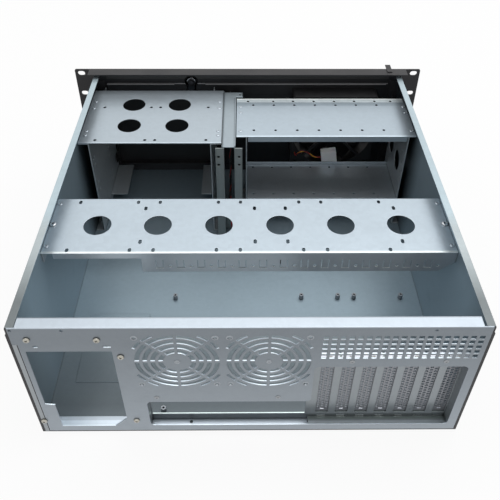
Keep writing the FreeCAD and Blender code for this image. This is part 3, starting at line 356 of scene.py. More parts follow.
def perforation():
    """Holes in staggered columns: cells set out from the lowest one and joined to a thin sheet."""
    tree, given, out = geometry_tree("perforation", [
        ("Cell", "NodeSocketObject"), ("Columns", "NodeSocketInt"), ("Rows", "NodeSocketInt"),
        ("Across", "NodeSocketFloat"), ("Up", "NodeSocketFloat"), ("Lowest", "NodeSocketVector"),
        ("Thickness", "NodeSocketFloat"), ("Finish", "NodeSocketMaterial")])
    count = times(tree, given["Columns"], given["Rows"])
    points = node(tree, "GeometryNodeMeshLine", {"Count": count, "Offset": (0.0, 0.0, 0.0)})
    index = node(tree, "GeometryNodeInputIndex").outputs[0]
    row = maths(tree, "FLOOR", maths(tree, "DIVIDE", index, given["Columns"]))
    column = maths(tree, "SUBTRACT", index, times(tree, row, given["Columns"]))
    lifted = plus(tree, row, times(tree, maths(tree, "MODULO", column, 2.0), 0.5))
    offset = node(tree, "ShaderNodeCombineXYZ", {0: times(tree, column, given["Across"]),
                                                 2: times(tree, lifted, given["Up"])})
    place = node(tree, "ShaderNodeVectorMath", {0: given["Lowest"], 1: offset.outputs[0]})
    moved = node(tree, "GeometryNodeSetPosition", {"Geometry": points.outputs[0],
                                                   "Position": place.outputs[0]})
    cell = node(tree, "GeometryNodeObjectInfo", {"Object": given["Cell"]})
    cells = copies_on(tree, moved.outputs[0], {"Instance": cell.outputs["Geometry"]})
    sheet = joined(tree, cells, given["Given"])
    thick = node(tree, "GeometryNodeExtrudeMesh", {"Mesh": sheet, "Offset": (0.0, 1.0, 0.0),
                                                   "Offset Scale": given["Thickness"], "Individual": False})
    behind = node(tree, "GeometryNodeFlipFaces", {0: sheet})
    return finish_tree(tree, joined(tree, thick.outputs[0], behind.outputs[0]), given, out)


def row_of_covers():
    tree, given, out = geometry_tree("row_of_covers", [
        ("Count", "NodeSocketInt"), ("Pitch", "NodeSocketFloat"), ("Finish", "NodeSocketMaterial")])
    step = node(tree, "ShaderNodeCombineXYZ", {0: times(tree, given["Pitch"], -1.0)})
    line = node(tree, "GeometryNodeMeshLine", {"Count": given["Count"], "Offset": step.outputs[0]})
    covers = copies_on(tree, line.outputs[0], {"Instance": given["Given"]})
    return finish_tree(tree, covers, given, out)


def new_piece(name, mesh):
    piece = bpy.data.objects.new(name, mesh)
    bpy.context.scene.collection.objects.link(piece)
    return piece


def mesh_of(name, points, faces):
    mesh = bpy.data.meshes.new(name)
    mesh.from_pydata([tuple(p) for p in points], [], faces)
    return mesh


def evaluated(piece):
    """Plain mesh of a piece with its modifiers, or of a curve."""
    piece.update_tag()
    bpy.context.view_layer.update()
    graph = bpy.context.evaluated_depsgraph_get()
    return bpy.data.meshes.new_from_object(piece.evaluated_get(graph))


def run_nodes(piece, tree, values):
    """Put the tree on the piece with its named inputs, and keep what it makes as a plain mesh."""
    modifier = piece.modifiers.new(tree.name, "NODES")
    modifier.node_group = tree
    for item in tree.interface.items_tree:
        if item.in_out == "INPUT" and item.name in values:
            modifier[item.identifier] = values[item.name]
    made = evaluated(piece)
    piece.modifiers.clear()
    piece.data = made


COVER_HALF = 0.0092
COVER_PITCH = 0.02032
COVER_REAR = REAR - 0.0141
COVER_TOP = 0.1149
COVER_T = 0.0009
FOOT_Z = 0.018
SLOT_LOW = 0.0188
SLOT_HIGH = 0.0206
TONGUE_Z = 0.012
TONGUE_HALF = 0.0055
NOTCH_HALF = 0.0018
NOTCH_END = REAR - 0.0078
TAB_END = REAR - 0.0028
HOLE_ACROSS = 0.0043
HOLE_UP = 0.0044
HOLE_R = 0.00172
HOLE_ROWS = 20
FIELD_Z = 0.0236
# Painted light on the covers: upward faces painted bright at the foot's slot and on the top tab, darker
# between.
cover_steel = zinc_steel("cover_steel", (0.265, 0.275, 0.30), 0.34, painted_light_zones=(
    ("upward", Z, 0.0195, 0.0200, 3.0, 0.8),
    ("upward", Z, 0.110, 0.112, 1.0, 2.6)))

# a cell of the sheet with its hole, drawn facing the rear
cell_points = []
for reach in (0, 1):
    for k in range(6):
        turn = math.radians(60 * k)
        side = (1, 1, -1, -1, -1, 1)[k]
        lift = (0, 1, 1, 0, -1, -1)[k]
        if reach:
            cell_points.append((side * HOLE_ACROSS / 2, 0, lift * HOLE_UP / 2))
        else:
            cell_points.append((HOLE_R * math.cos(turn), 0, HOLE_R * math.sin(turn)))
cell_faces = [(k, (k + 1) % 6, (k + 1) % 6 + 6, k + 6) for k in range(6)]
cell = new_piece("hole_cell", mesh_of("hole_cell", cell_points, cell_faces))

# the plain margins round the field of holes, split where the cells' corners meet them
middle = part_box("slot_cover_1")[0].x + COVER_HALF
field_half = 1.5 * HOLE_ACROSS
field_low = FIELD_Z - HOLE_UP / 2
steps = [field_low + HOLE_UP / 2 * k for k in range(2 * HOLE_ROWS + 2)]
columns = [-COVER_HALF, -field_half, -field_half / 3, field_half / 3, field_half, COVER_HALF]
levels = [FOOT_Z, SLOT_LOW, SLOT_HIGH] + steps + [COVER_TOP]
margin_points = [(middle + x, COVER_REAR, z) for z in levels for x in columns]
margin_faces = []
for j in range(len(levels) - 1):
    in_field = 3 <= j < len(levels) - 2
    for i in range(5):
        outer = i in (0, 4)
        first_half = j == 3 and i == 2
        last_half = j == len(levels) - 3 and i in (1, 3)
        window = j == 1 and i == 2
        if (outer or not in_field or first_half or last_half) and not window:
            a = j * 6 + i
            margin_faces.append((a + 1, a, a + 6, a + 7))
foot = len(margin_points)
margin_points += [(middle + side * TONGUE_HALF, COVER_REAR, TONGUE_Z) for side in (-1, 1)]
margin_faces += [(foot, 0, 1, 2), (foot, 2, 3, foot + 1), (foot + 1, 3, 4, 5)]
slot_covers = new_piece("slot_covers", mesh_of("slot_covers", margin_points, margin_faces))
run_nodes(slot_covers, perforation(), {
    "Cell": cell, "Columns": 3, "Rows": HOLE_ROWS, "Across": HOLE_ACROSS, "Up": HOLE_UP,
    "Lowest": (middle - HOLE_ACROSS, COVER_REAR, FIELD_Z), "Thickness": COVER_T, "Finish": cover_steel})
bpy.data.objects.remove(cell)


def add_box(shape, low, high):
    """Closed box with outward faces, added to a bmesh."""
    x, y, z = ((low[i], high[i]) for i in range(3))
    corners = [shape.verts.new((x[i], y[j], z[k])) for i in (0, 1) for j in (0, 1) for k in (0, 1)]
    for face in ((0, 1, 3, 2), (4, 6, 7, 5), (0, 4, 5, 1), (2, 3, 7, 6), (0, 2, 6, 4), (1, 5, 7, 3)):
        shape.faces.new([corners[i] for i in face])


# the tab over the ledge, in two leaves round the screw's notch
shape = bmesh.new()
shape.from_mesh(slot_covers.data)
for side in (-1, 1):
    xs = sorted((middle + side * NOTCH_HALF, middle + side * COVER_HALF))
    add_box(shape, (xs[0], COVER_REAR, COVER_TOP), (xs[1], TAB_END, COVER_TOP + COVER_T))
add_box(shape, (middle - NOTCH_HALF, COVER_REAR, COVER_TOP),
        (middle + NOTCH_HALF, NOTCH_END, COVER_TOP + COVER_T))
shape.to_mesh(slot_covers.data)
shape.free()
run_nodes(slot_covers, row_of_covers(), {"Count": 7, "Pitch": COVER_PITCH, "Finish": cover_steel})
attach(slot_covers, "case")
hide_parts(*["slot_cover_%d" % k for k in range(1, 8)])


# ------------------------------------------------------------------ screws of the rear panel
# Pan-head machine screws, cold headed, with a cross recess and a rolled thread.  Their plating has
# a faint tan film, and they hold the supply, the recess and the slot covers.
def lathe(shape, profile, segments):
    """Closed body of revolution about Z from (radius, z) points: a ring, or both ends on the axis."""
    rings = []
    for r, z in profile:
        if r == 0:
            rings.append([shape.verts.new((0, 0, z))])
        else:
            rings.append([shape.verts.new((r * math.cos(math.tau * k / segments),
                                           r * math.sin(math.tau * k / segments), z))
                          for k in range(segments)])
    if profile[0][0]:
        rings.append(rings[0])
    for low, high in zip(rings, rings[1:]):
        for k in range(segments):
            after = (k + 1) % segments
            corners = [low[k % len(low)], low[after % len(low)], high[after % len(high)],
                       high[k % len(high)]]
            shape.faces.new(list(dict.fromkeys(corners)))


def closed_mesh(name, shape):
    """Mesh of a bmesh with its faces turned outward; the bmesh is freed."""
    bmesh.ops.recalc_face_normals(shape, faces=shape.faces)
    mesh = bpy.data.meshes.new(name)
    shape.to_mesh(mesh)
    shape.free()
    return mesh


def turned_piece(name, profile, segments=20):
    shape = bmesh.new()
    lathe(shape, profile, segments)
    return new_piece(name, closed_mesh(name, shape))


def cross_punch(head, height):
    """Tapering cross that is cut out of a screw's head."""
    arm = head * 0.58
    half = head * 0.13
    outline = []
    for quarter in range(4):
        turn = Matrix.Rotation(-math.pi / 2 * quarter, 2)
        outline += [turn @ Vector(p) for p in ((half, half), (arm, half), (arm, -half))]
    levels = ((height * 1.2, 1.0), (height * 0.42, 0.55))
    shape = bmesh.new()
    rings = [[shape.verts.new((p.x * s, p.y * s, z)) for p in outline] for z, s in levels]
    shape.faces.new(rings[0])
    shape.faces.new(rings[1][::-1])
    for k in range(12):
        after = (k + 1) % 12
        shape.faces.new((rings[0][k], rings[1][k], rings[1][after], rings[0][after]))
    return new_piece("cross_punch", closed_mesh("cross_punch", shape))


def cross_screw(name, head, height, shank, length):
    """Pan-head screw standing on its seat at z = 0, with its thread below."""
    profile = [(0, -length), (shank * 0.7, -length)]
    turns = int(length / 0.0007)
    for k in range(turns):
        z = -length + 0.0003 + k * (length - 0.0004) / turns
        profile += [(shank * 0.84, z), (shank, z + 0.0003)]
    profile += [(shank * 0.9, 0), (head * 0.97, 0), (head, height * 0.12), (head, height * 0.40),
                (head * 0.93, height * 0.66), (head * 0.76, height * 0.86), (head * 0.45, height * 0.97),
                (0, height)]
    screw = turned_piece(name, profile, 28)
    cutter = cross_punch(head, height)
    punch = screw.modifiers.new("recess", "BOOLEAN")
    punch.operation = "DIFFERENCE"
    punch.solver = "EXACT"
    punch.object = cutter
    made = evaluated(screw)
    screw.modifiers.clear()
    screw.data = made
    bpy.data.objects.remove(cutter)
    return screw


def fastener_places():
    """One fastener on each place, standing along its facing, each turned by a seeded chance."""
    tree, given, out = geometry_tree("fastener_places", [
        ("Fastener", "NodeSocketObject"), ("Turn", "NodeSocketInt"), ("Finish", "NodeSocketMaterial")])
    facing = node(tree, "GeometryNodeInputNamedAttribute", {"Name": "facing"}, data_type="FLOAT_VECTOR")
    stand = node(tree, "FunctionNodeAlignRotationToVector", {"Vector": facing.outputs[0]}, axis="Z")
    chance = node(tree, "FunctionNodeRandomValue", {2: 0.0, 3: math.tau, "Seed": given["Turn"]},
                  data_type="FLOAT")
    about = node(tree, "FunctionNodeAxisAngleToRotation", {"Axis": (0.0, 0.0, 1.0),
                                                           "Angle": chance.outputs[1]})
    turned = node(tree, "FunctionNodeRotateRotation", {0: stand.outputs[0], 1: about.outputs[0]},
                  rotation_space="LOCAL")
    part = node(tree, "GeometryNodeObjectInfo", {"Object": given["Fastener"]})
    fasteners = copies_on(tree, given["Given"], {"Instance": part.outputs["Geometry"],
                                                 "Rotation": turned.outputs[0]})
    return finish_tree(tree, fasteners, given, out)


def islands(name):
    """Boxes of a CAD node's separate bodies, from a merged copy of its mesh."""
    shape = bmesh.new()
    shape.from_mesh(nodes[name].data)
    bmesh.ops.remove_doubles(shape, verts=shape.verts, dist=1e-6)
    seen = set()
    boxes = []
    for start in shape.verts:
        if start in seen:
            continue
        heap = [start]
        seen.add(start)
        low = start.co.copy()
        high = start.co.copy()
        while heap:
            vertex = heap.pop()
            low = Vector(map(min, low, vertex.co))
            high = Vector(map(max, high, vertex.co))
            for edge in vertex.link_edges:
                other = edge.other_vert(vertex)
                if other not in seen:
                    seen.add(other)
                    heap.append(other)
        boxes.append((low, high))
    shape.free()
    return boxes


def seats(boxes, facing, height):
    """Seat points under the heads of fasteners that face one way."""
    found = []
    for low, high in boxes:
        point = (low + high) / 2
        for i in range(3):
            if facing[i]:
                point[i] = (high[i] if facing[i] > 0 else low[i]) - facing[i] * height
        found.append((point, facing))
    return found


FASTENERS = fastener_places()


def set_fasteners(name, found, part, material, seed):
    mesh = mesh_of(name, [p for p, facing in found], [])
    mesh.attributes.new("facing", "FLOAT_VECTOR", "POINT")
    for item, (point, facing) in zip(mesh.attributes["facing"].data, found):
        item.vector = facing
    piece = new_piece(name, mesh)
    run_nodes(piece, FASTENERS, {"Fastener": part, "Turn": seed, "Finish": material})
    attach(piece, "case")
    return piece


def plated(name, colour, second, rough):
    """Bright plating that drifts between two tints, dulled where tools touched it; painted highlights
    lie along its edges and painted shade in its cross recess and other hollows.
    """
    material, tree, shader = new_material(name)
    place = object_place(tree)
    edges = grouped(tree, EDGES, Radius=0.00015)
    drift = noise(tree, place, 420.0, 3.0)
    film = mixed(tree, spread(tree, drift, 0.35, 0.65), shade(colour, 1.0), shade(second, 1.0))
    # painted highlight along sharp edges, then painted shade in the cross recess and hollows
    film = mixed(tree, times(tree, edges["Edge"], 0.5), film, shade(colour, 1.35))
    film = mixed(tree, crevices(tree, 0.0012, 0.45, 0.90, 0.95), film, shade(colour, 0.05))
    worn = spread(tree, noise(tree, place, 900.0), 0.3, 0.7, rough - 0.06, rough + 0.1)
    grain = noise(tree, place, 3500.0, 2.0)
    fill_inputs(tree, shader, {"Base Color": film, "Metallic": 1.0, "Roughness": worn,
                               "Normal": bumped(tree, grain, 0.06, Normal=edges["Normal"])})
    return material


REARWARD = Vector((0, 1, 0))
FORWARD = Vector((0, -1, 0))
UPWARD = Vector((0, 0, 1))
HEAD = 0.0022
yellow_zinc = plated("yellow_zinc", (0.52, 0.51, 0.47), (0.42, 0.40, 0.34), 0.28)
small_screw = cross_screw("small_screw", 0.0031, HEAD, 0.00145, 0.005)
rear_screws = set_fasteners("rear_fixings", seats(islands("rear_screws"), REARWARD, HEAD), small_screw,
                            yellow_zinc, 3)
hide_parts("rear_screws")
cover_screws = set_fasteners("cover_fixings", seats(islands("cover_screws"), UPWARD, HEAD), small_screw,
                             yellow_zinc, 8)
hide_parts("cover_screws")


# ------------------------------------------------------------------ rims of the fan guards
# Each screw hole of the two guards is drawn out to a low rim for the thread, and each hub keeps the
# shallow punch mark of its blanking die.
GUARDS = ((0.0675, 0.1215), (-0.0168, 0.1215))
GUARD_HOLES = 0.0715
hole_rim = turned_piece("hole_rim", [
    (0.0021, -0.0011), (0.0021, 0.0006), (0.0025, 0.0006), (0.0032, 0.00005), (0.0032, -0.0001),
    (0.0022, -0.0011)])
punch_mark = turned_piece("punch_mark", [
    (0, 0.0001), (0.0011, 0.0001), (0.0017, 0.0007), (0.0021, 0.0007), (0.0028, 0.00005), (0, -0.0002)])
# edge=1.8 paints strong highlights round the rims
rim_steel = zinc_steel("rim_steel", (0.36, 0.39, 0.42), 0.34, edge=1.8)
corners = [(Vector((x + i * GUARD_HOLES / 2, REAR, z + j * GUARD_HOLES / 2)), REARWARD)
           for x, z in GUARDS for i in (-1, 1) for j in (-1, 1)]
guard_rims = set_fasteners("guard_rims", corners, hole_rim, rim_steel, 4)
hubs = [(Vector((x, REAR, z)), REARWARD) for x, z in GUARDS]
hub_marks = set_fasteners("hub_marks", hubs, punch_mark, rim_steel, 6)


# ------------------------------------------------------------------ cross-member
# A wide channel from wall to wall, punched for cables, that stiffens the walls and guides the tops
# of long cards.  It lies on two riveted angles and is held by rivets and one screw at each end.
# Painted light on the cross-member: a painted highlight along its rear fold, painted shade on the upright
# faces beneath it, and its rear upright face painted back to its lit tone.
dress(zinc_steel("cross_member_steel", (0.47, 0.545, 0.605), 0.34, edge=1.6,
                 painted_light_zones=(("upward", Y, REAR - 0.1135, REAR - 0.1115, 1.0, (1.6, 1.5, 1.35)),
                        ("upright", Y, REAR - 0.1940, REAR - 0.1935, 1.0, 0.2),
                        ("upright", Y, REAR - 0.1120, REAR - 0.1115, 1.0, 5.0))), "fan_bracket")
dress(zinc_steel("angle_steel", (0.48, 0.53, 0.57), 0.42), "bracket_ledge_left", "bracket_ledge_right")

bright_zinc = plated("bright_zinc", (0.72, 0.74, 0.76), (0.64, 0.67, 0.70), 0.25)
big_screw = cross_screw("big_screw", 0.0034, HEAD, 0.0019, 0.006)
bracket_screws = set_fasteners("cross_member_fixings", seats(islands("bracket_screws"), UPWARD, HEAD),
                               big_screw, bright_zinc, 5)
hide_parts("bracket_screws")

# low domed heads with the broken stem's pit, and an upset tail on the far side
RIVET_HEAD = 0.0008
FLOOR_LEVEL = 0.0045
DOME = [(0.0015, 0), (0.0026, 0), (0.00255, 0.00025), (0.0021, 0.0006), (0.0013, 0.0008),
        (0.0009, 0.00078), (0.00075, 0.0004), (0, 0.0004)]
domed_rivet = turned_piece("domed_rivet", [(0, -0.0032), (0.0015, -0.0032), (0.0022, -0.0028),
                                           (0.0022, -0.0024), (0.0015, -0.0024)] + DOME)
flush_rivet = turned_piece("flush_rivet", [(0, -0.0023), (0.0015, -0.0023)] + DOME)
bodies = islands("rivets")
behind = [b for b in bodies if b[1].y > REAR + 0.0001]
above = [b for b in bodies if b not in behind and b[1].z > FLOOR_LEVEL]
through_floor = [b for b in bodies if b not in behind and b[1].z <= FLOOR_LEVEL]
# edge below 1 paints shade round the rivet heads' rims
rivet_steel = zinc_steel("rivet_steel", (0.48, 0.54, 0.59), 0.30, edge=0.45)
rear_rivet_steel = zinc_steel("rear_rivet_steel", (0.36, 0.38, 0.40), 0.30, edge=0.35)
rear_rivets = set_fasteners("rear_rivets", seats(behind, REARWARD, RIVET_HEAD), domed_rivet,
                            rear_rivet_steel, 10)
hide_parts("rivets")
rivets = set_fasteners("case_rivets", seats(above, UPWARD, RIVET_HEAD), domed_rivet, rivet_steel, 11)
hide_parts("rivets")
floor_rivets = set_fasteners("floor_rivets", seats(through_floor, UPWARD, RIVET_HEAD), flush_rivet,
                             rivet_steel, 12)
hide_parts("rivets")


# ------------------------------------------------------------------ drive cages
# Two riveted boxes of folded sheet: one for three 5.25 inch drives, one for seven upright 3.5 inch
# drives, joined by a hat-section post and a shallow channel that lie between them.
# Painted light on the bay top: painted shade towards the front panel and on its front upright faces, a
# painted highlight along its rear fold.
dress(zinc_steel("bay_top_steel", (0.44, 0.505, 0.555), 0.34, edge=1.5, painted_light_zones=(
    ("upward", Y, REAR - 0.432, REAR - 0.395, 0.80, 1.0),
    ("upward", Y, REAR - 0.3025, REAR - 0.3012, 1.0, 1.3),
    ("upright", Y, REAR - 0.3022, REAR - 0.3018, 0.2, 1.0))), "bay_top")
# Painted light on the drive top: bright and dark bands painted across its front steps, painted shade on its
# front upright faces and a painted highlight at its rear fold.
dress(zinc_steel("drive_top_steel", (0.44, 0.515, 0.575), 0.34, edge=1.5, painted_light_zones=(
    ("upward", Y, REAR - 0.4052, REAR - 0.4044, (1.40, 1.35, 1.30), 1.0),
    ("upward", Y, REAR - 0.3956, REAR - 0.3940, (2.3, 2.15, 2.0), 1.0),
    ("upward", Y, REAR - 0.3870, REAR - 0.3850, (0.80, 0.82, 0.83), 1.0),
    ("upright", Y, REAR - 0.3165, REAR - 0.3155, 0.2, 1.0),
    ("upward", Y, REAR - 0.3165, REAR - 0.3150, 1.0, 1.6))), "drive_top")
channel_low, channel_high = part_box("centre_channel")
# Painted shade: both long edges of the channel's upward faces are darkened as the shade of the gaps beside
# it.
dress(zinc_steel("channel_steel", (0.36, 0.42, 0.46), 0.36, edge=1.3, painted_light_zones=(
    ("upward", X, channel_low.x + 0.0010, channel_low.x + 0.0016, 0.35, 1.0),
    ("upward", X, channel_high.x - 0.0016, channel_high.x - 0.0010, 1.0, 0.35))), "centre_channel")
side_steel = zinc_steel("cage_side_steel", (0.46, 0.505, 0.535), 0.44)
dress(side_steel, "bay_side_left", "bay_side_right", "bay_ledge_left", "bay_ledge_right",
      "drive_side_left", "drive_side_right")
dress(zinc_steel("post_strip_steel", (0.27, 0.30, 0.30), 0.42), "centre_post")
dress(zinc_steel("drive_floor_steel", (0.50, 0.56, 0.61), 0.34), "drive_floor")


# ------------------------------------------------------------------ front panel and door
# Two-millimetre rack panel and a folded door, both powder coated black with a fine orange peel.
# Dust lies on their upper faces, and corners are rubbed paler.
def powder_coat():
    """Orange peel, rubbed corners and settled dust of a powder-coated sheet."""
    tree, given, out = shader_group(
        "powder_coat", [("Peel", "NodeSocketFloat", 900.0), ("Dust", "NodeSocketFloat", 0.25)],
        [("Height", "NodeSocketFloat"), ("Dusty", "NodeSocketFloat"), ("Cloud", "NodeSocketFloat")])
    place = object_place(tree)
    peel = node(tree, "ShaderNodeTexVoronoi", {"Vector": place, "Scale": given["Peel"]},
                feature="SMOOTH_F1").outputs["Distance"]
    specks = spread(tree, noise(tree, place, 1300.0, 3.0, 0.7), 0.52, 0.70)
    cloud = noise(tree, place, 22.0, 4.0, 0.6)
    dusty = times(tree, upness(tree, 0.2, 0.9),
                  plus(tree, times(tree, specks, 0.6), spread(tree, cloud, 0.4, 0.75)))
    tree.links.new(peel, out["Height"])
    tree.links.new(times(tree, dusty, given["Dust"]), out["Dusty"])
    tree.links.new(cloud, out["Cloud"])
    return tree


POWDER = powder_coat()
PANEL_BACK = REAR - 0.4404
BETWEEN_WALLS = 0.199
DUST = (0.20, 0.195, 0.19)


def coated_black(name, colour, rough, peel=900.0, dust=0.12, strength=0.12, highlight_bands=()):
    """Powder coat; each band of heights on the inside is painted a paler tone, a painted highlight
    where a rib and the top fold catch the light.
    """
    material, tree, shader = new_material(name)
    coat = grouped(tree, POWDER, Peel=peel, Dust=dust)
    edges = grouped(tree, EDGES, Radius=0.0007)
    base = mixed(tree, coat["Cloud"], shade(colour, 0.75), shade(colour, 1.3))
    base = mixed(tree, times(tree, edges["Edge"], 0.35), base, shade(colour, 3.5))
    base = mixed(tree, coat["Dusty"], base, tint(DUST))
    apart = split(tree, object_place(tree))
    inside = times(tree, maths(tree, "GREATER_THAN", apart[Y], PANEL_BACK),
                   maths(tree, "LESS_THAN", maths(tree, "ABSOLUTE", apart[X]), BETWEEN_WALLS))
    for low, high, pale in highlight_bands:
        here = maths(tree, "COMPARE", apart[Z], (low + high) / 2, (high - low) / 2)
        base = mixed(tree, times(tree, inside, here), base, tint(pale))
    dull = plus(tree, spread(tree, coat["Cloud"], 0.3, 0.7, rough - 0.06, rough + 0.06),
                times(tree, coat["Dusty"], 0.4))
    fill_inputs(tree, shader, {
        "Base Color": base, "Roughness": dull, "Specular IOR Level": 0.35,
        "Normal": bumped(tree, coat["Height"], strength, 0.0002, Normal=edges["Normal"])})
    return material


# the two paler bands are painted highlights along the panel's inner rib and under its top fold
dress(coated_black("panel_powder_coat", BLACK, 0.40, highlight_bands=(
    (0.1538, 0.1554, (0.28, 0.28, 0.29)),
    (0.1622, 0.1668, 0.040))), "front_panel")
dress(coated_black("black_powder_coat", BLACK, 0.40), "front_door", "hinge_top", "hinge_bottom")
dress(coated_black("moulded_black", (0.016, 0.016, 0.017), 0.52, peel=2400.0, dust=0.2, strength=0.2),
      "bay_cover_1", "bay_cover_2", "bay_cover_3", "switch_bodies")
black_screw = coated_black("black_plating", (0.03, 0.03, 0.032), 0.32, peel=3000.0, dust=0.1)
flange_screws = set_fasteners("flange_fixings", seats(islands("flange_screws"), FORWARD, HEAD), small_screw,
                              black_screw, 21)
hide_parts("flange_screws")


# ------------------------------------------------------------------ handles
# Bow handles bent from nine-millimetre bar, satin finished, each on two feet and held by two
# screws from behind the panel.
def satin_bar(name, colour):
    material, tree, shader = new_material(name)
    place = object_place(tree)
    lines = node(tree, "ShaderNodeVectorMath", {0: place, 1: (2600.0, 2600.0, 60.0)}, operation="MULTIPLY")
    brushed = noise(tree, lines.outputs[0], 1.0, 3.0)
    cloud = noise(tree, place, 60.0, 3.0)
    base = mixed(tree, brushed, shade(colour, 0.85), shade(colour, 1.12))
    fill_inputs(tree, shader, {
        "Base Color": base, "Metallic": 1.0, "Roughness": spread(tree, cloud, 0.3, 0.7, 0.24, 0.38),
        "Normal": bumped(tree, brushed, 0.08, Normal=grouped(tree, EDGES)["Normal"])})
    return material


dress(satin_bar("satin_bar", (0.66, 0.67, 0.69)), "handle_left", "handle_right")
handle_screws = set_fasteners("handle_fixings", seats(islands("handle_screws"), REARWARD, HEAD), big_screw,
                              bright_zinc, 31)
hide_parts("handle_screws")


# ------------------------------------------------------------------ lock
# Turned and plated cam lock: a flanged sleeve through the door with a nut behind, a plug with its
# key slot, and a pressed cam on the plug's tail.
dress(plated("lock_plating", (0.50, 0.50, 0.51), (0.42, 0.43, 0.45), 0.18), "lock_body", "lock_plug")
dress(plated("blackened_steel", (0.055, 0.055, 0.06), (0.035, 0.036, 0.04), 0.35), "lock_cam", "lock_nut",
      "lock_screw")


# ------------------------------------------------------------------ buttons, lights and their board
# Two moulded buttons, two clear light pipes and two switches on a small lacquered board that stands
# on posts behind the panel.
def moulded(name, colour, rough, grain=1800.0, strength=0.1, through=0.0):
    """Moulded plastic with a fine spark-eroded grain and slightly paler corners."""
    material, tree, shader = new_material(name)
    place = object_place(tree)
    edges = grouped(tree, EDGES, Radius=0.0004)
    cloud = noise(tree, place, 90.0, 3.0)
    base = mixed(tree, cloud, shade(colour, 0.9), shade(colour, 1.08))
    base = mixed(tree, times(tree, edges["Edge"], 0.3), base, shade(colour, 1.3))
    grains = noise(tree, place, grain, 2.0)
    fill_inputs(tree, shader, {
        "Base Color": base, "Roughness": spread(tree, cloud, 0.3, 0.7, rough - 0.05, rough + 0.07),
        "Normal": bumped(tree, grains, strength, Normal=edges["Normal"]),
        "Subsurface Weight": through, "Subsurface Scale": 0.002})
    return material


dress(moulded("grey_button", (0.16, 0.16, 0.17), 0.36), "power_button", "reset_button")


def light_pipe():
    material, tree, shader = new_material("clear_light_pipe")
    cloud = noise(tree, object_place(tree), 700.0, 3.0)
    fill_inputs(tree, shader, {
        "Base Color": mixed(tree, cloud, tint((0.80, 0.88, 0.84)), tint((0.92, 0.96, 0.94))),
        "Roughness": spread(tree, cloud, 0.3, 0.7, 0.12, 0.3), "Metallic": 0.0,
        "Transmission Weight": 0.7, "IOR": 1.49, "Normal": bumped(tree, cloud, 0.05)})
    return material


dress(light_pipe(), "status_lights")


def laminate():
    """Dark green lacquer over copper tracks on a woven laminate."""
    material, tree, shader = new_material("green_laminate")
    place = object_place(tree)
    across = node(tree, "ShaderNodeVectorMath", {0: place, 1: (1.0, 0.0, 1.0)}, operation="MULTIPLY")
    bricks = node(tree, "ShaderNodeTexBrick", {
        "Vector": across.outputs[0], "Scale": 260.0, "Mortar Size": 0.08,
        "Color1": tint((0.010, 0.024, 0.016)), "Color2": tint((0.008, 0.018, 0.012)),
        "Mortar": tint((0.020, 0.040, 0.028))})
    waves = node(tree, "ShaderNodeTexWave", {"Vector": place, "Scale": 900.0, "Distortion": 1.5})
    weave = waves.outputs["Fac"]
    base = mixed(tree, times(tree, weave, 0.25), bricks.outputs["Color"], tint((0.006, 0.012, 0.008)))
    fill_inputs(tree, shader, {"Base Color": base, "Normal": bumped(tree, bricks.outputs["Fac"], 0.1),
                               "Roughness": spread(tree, weave, 0.0, 1.0, 0.25, 0.4)})
    return material


dress(laminate(), "control_board")
dress(bright_zinc, "board_posts")


# ------------------------------------------------------------------ front fan
# Square moulded fan frame with four struts, and a seven-bladed rotor on its bearing.  It is held
# from the front by four screws.
dress(moulded("fan_black", (0.010, 0.010, 0.011), 0.50, 1500.0, 0.15), "fan_frame", "fan_rotor")
fan_screws = set_fasteners("fan_fixings", seats(islands("fan_screws"), FORWARD, HEAD), big_screw,
                           black_screw, 41)
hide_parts("fan_screws")


# ------------------------------------------------------------------ fan lead and its plug
# Four thin insulated wires, loosely twisted, from the fan's frame up over the cage floor's lip into
# a white four-way plug.  58 mm long; the plug is tucked beside the cage and connected to nothing.
def insulated(name, colour):
    """Soft glossy insulation with faint drawing lines."""
    material, tree, shader = new_material(name)
    place = object_place(tree)
    cloud = noise(tree, place, 500.0, 3.0)
    fill_inputs(tree, shader, {"Base Color": mixed(tree, cloud, shade(colour, 0.8), shade(colour, 1.15)),
                               "Roughness": spread(tree, cloud, 0.3, 0.7, 0.30, 0.45),
                               "Normal": bumped(tree, noise(tree, place, 4000.0), 0.1)})
    return material


def route_curve(name, route):
    """Smooth line of a lead from its route in millimetres as (x, distance from the rear, z)."""
    curve = bpy.data.curves.new(name, "CURVE")
    curve.dimensions = "3D"
    curve.resolution_u = 24
    spline = curve.splines.new("NURBS")
    spline.points.add(len(route) - 1)
    for point, (x, depth, z) in zip(spline.points, route):
        point.co = (x / 1000, REAR - depth / 1000, z / 1000, 1.0)
    spline.order_u = 3
    spline.use_endpoint_u = True
    return curve


def centre_line(curve):
    """Points along a lead's line, read from its spline."""
    helper = new_piece("lead_line", curve)
    points = [v.co.copy() for v in evaluated(helper).vertices]
    bpy.data.objects.remove(helper)
    return points


def travelled(points):
    """Distance along the line at each of its points."""
    distances = [0.0]
    for a, b in zip(points, points[1:]):
        distances.append(distances[-1] + (b - a).length)
    return distances


def carried_frames(points):
    """Two cross directions at each point, turned as little as possible along the line."""
    across = Vector((0, 0, 1))
    frames = []
    for i, point in enumerate(points):
        ahead = (points[min(i + 1, len(points) - 1)] - points[max(i - 1, 0)]).normalized()
        across = (across - ahead * across.dot(ahead)).normalized()
        frames.append((point, across, ahead.cross(across)))
    return frames


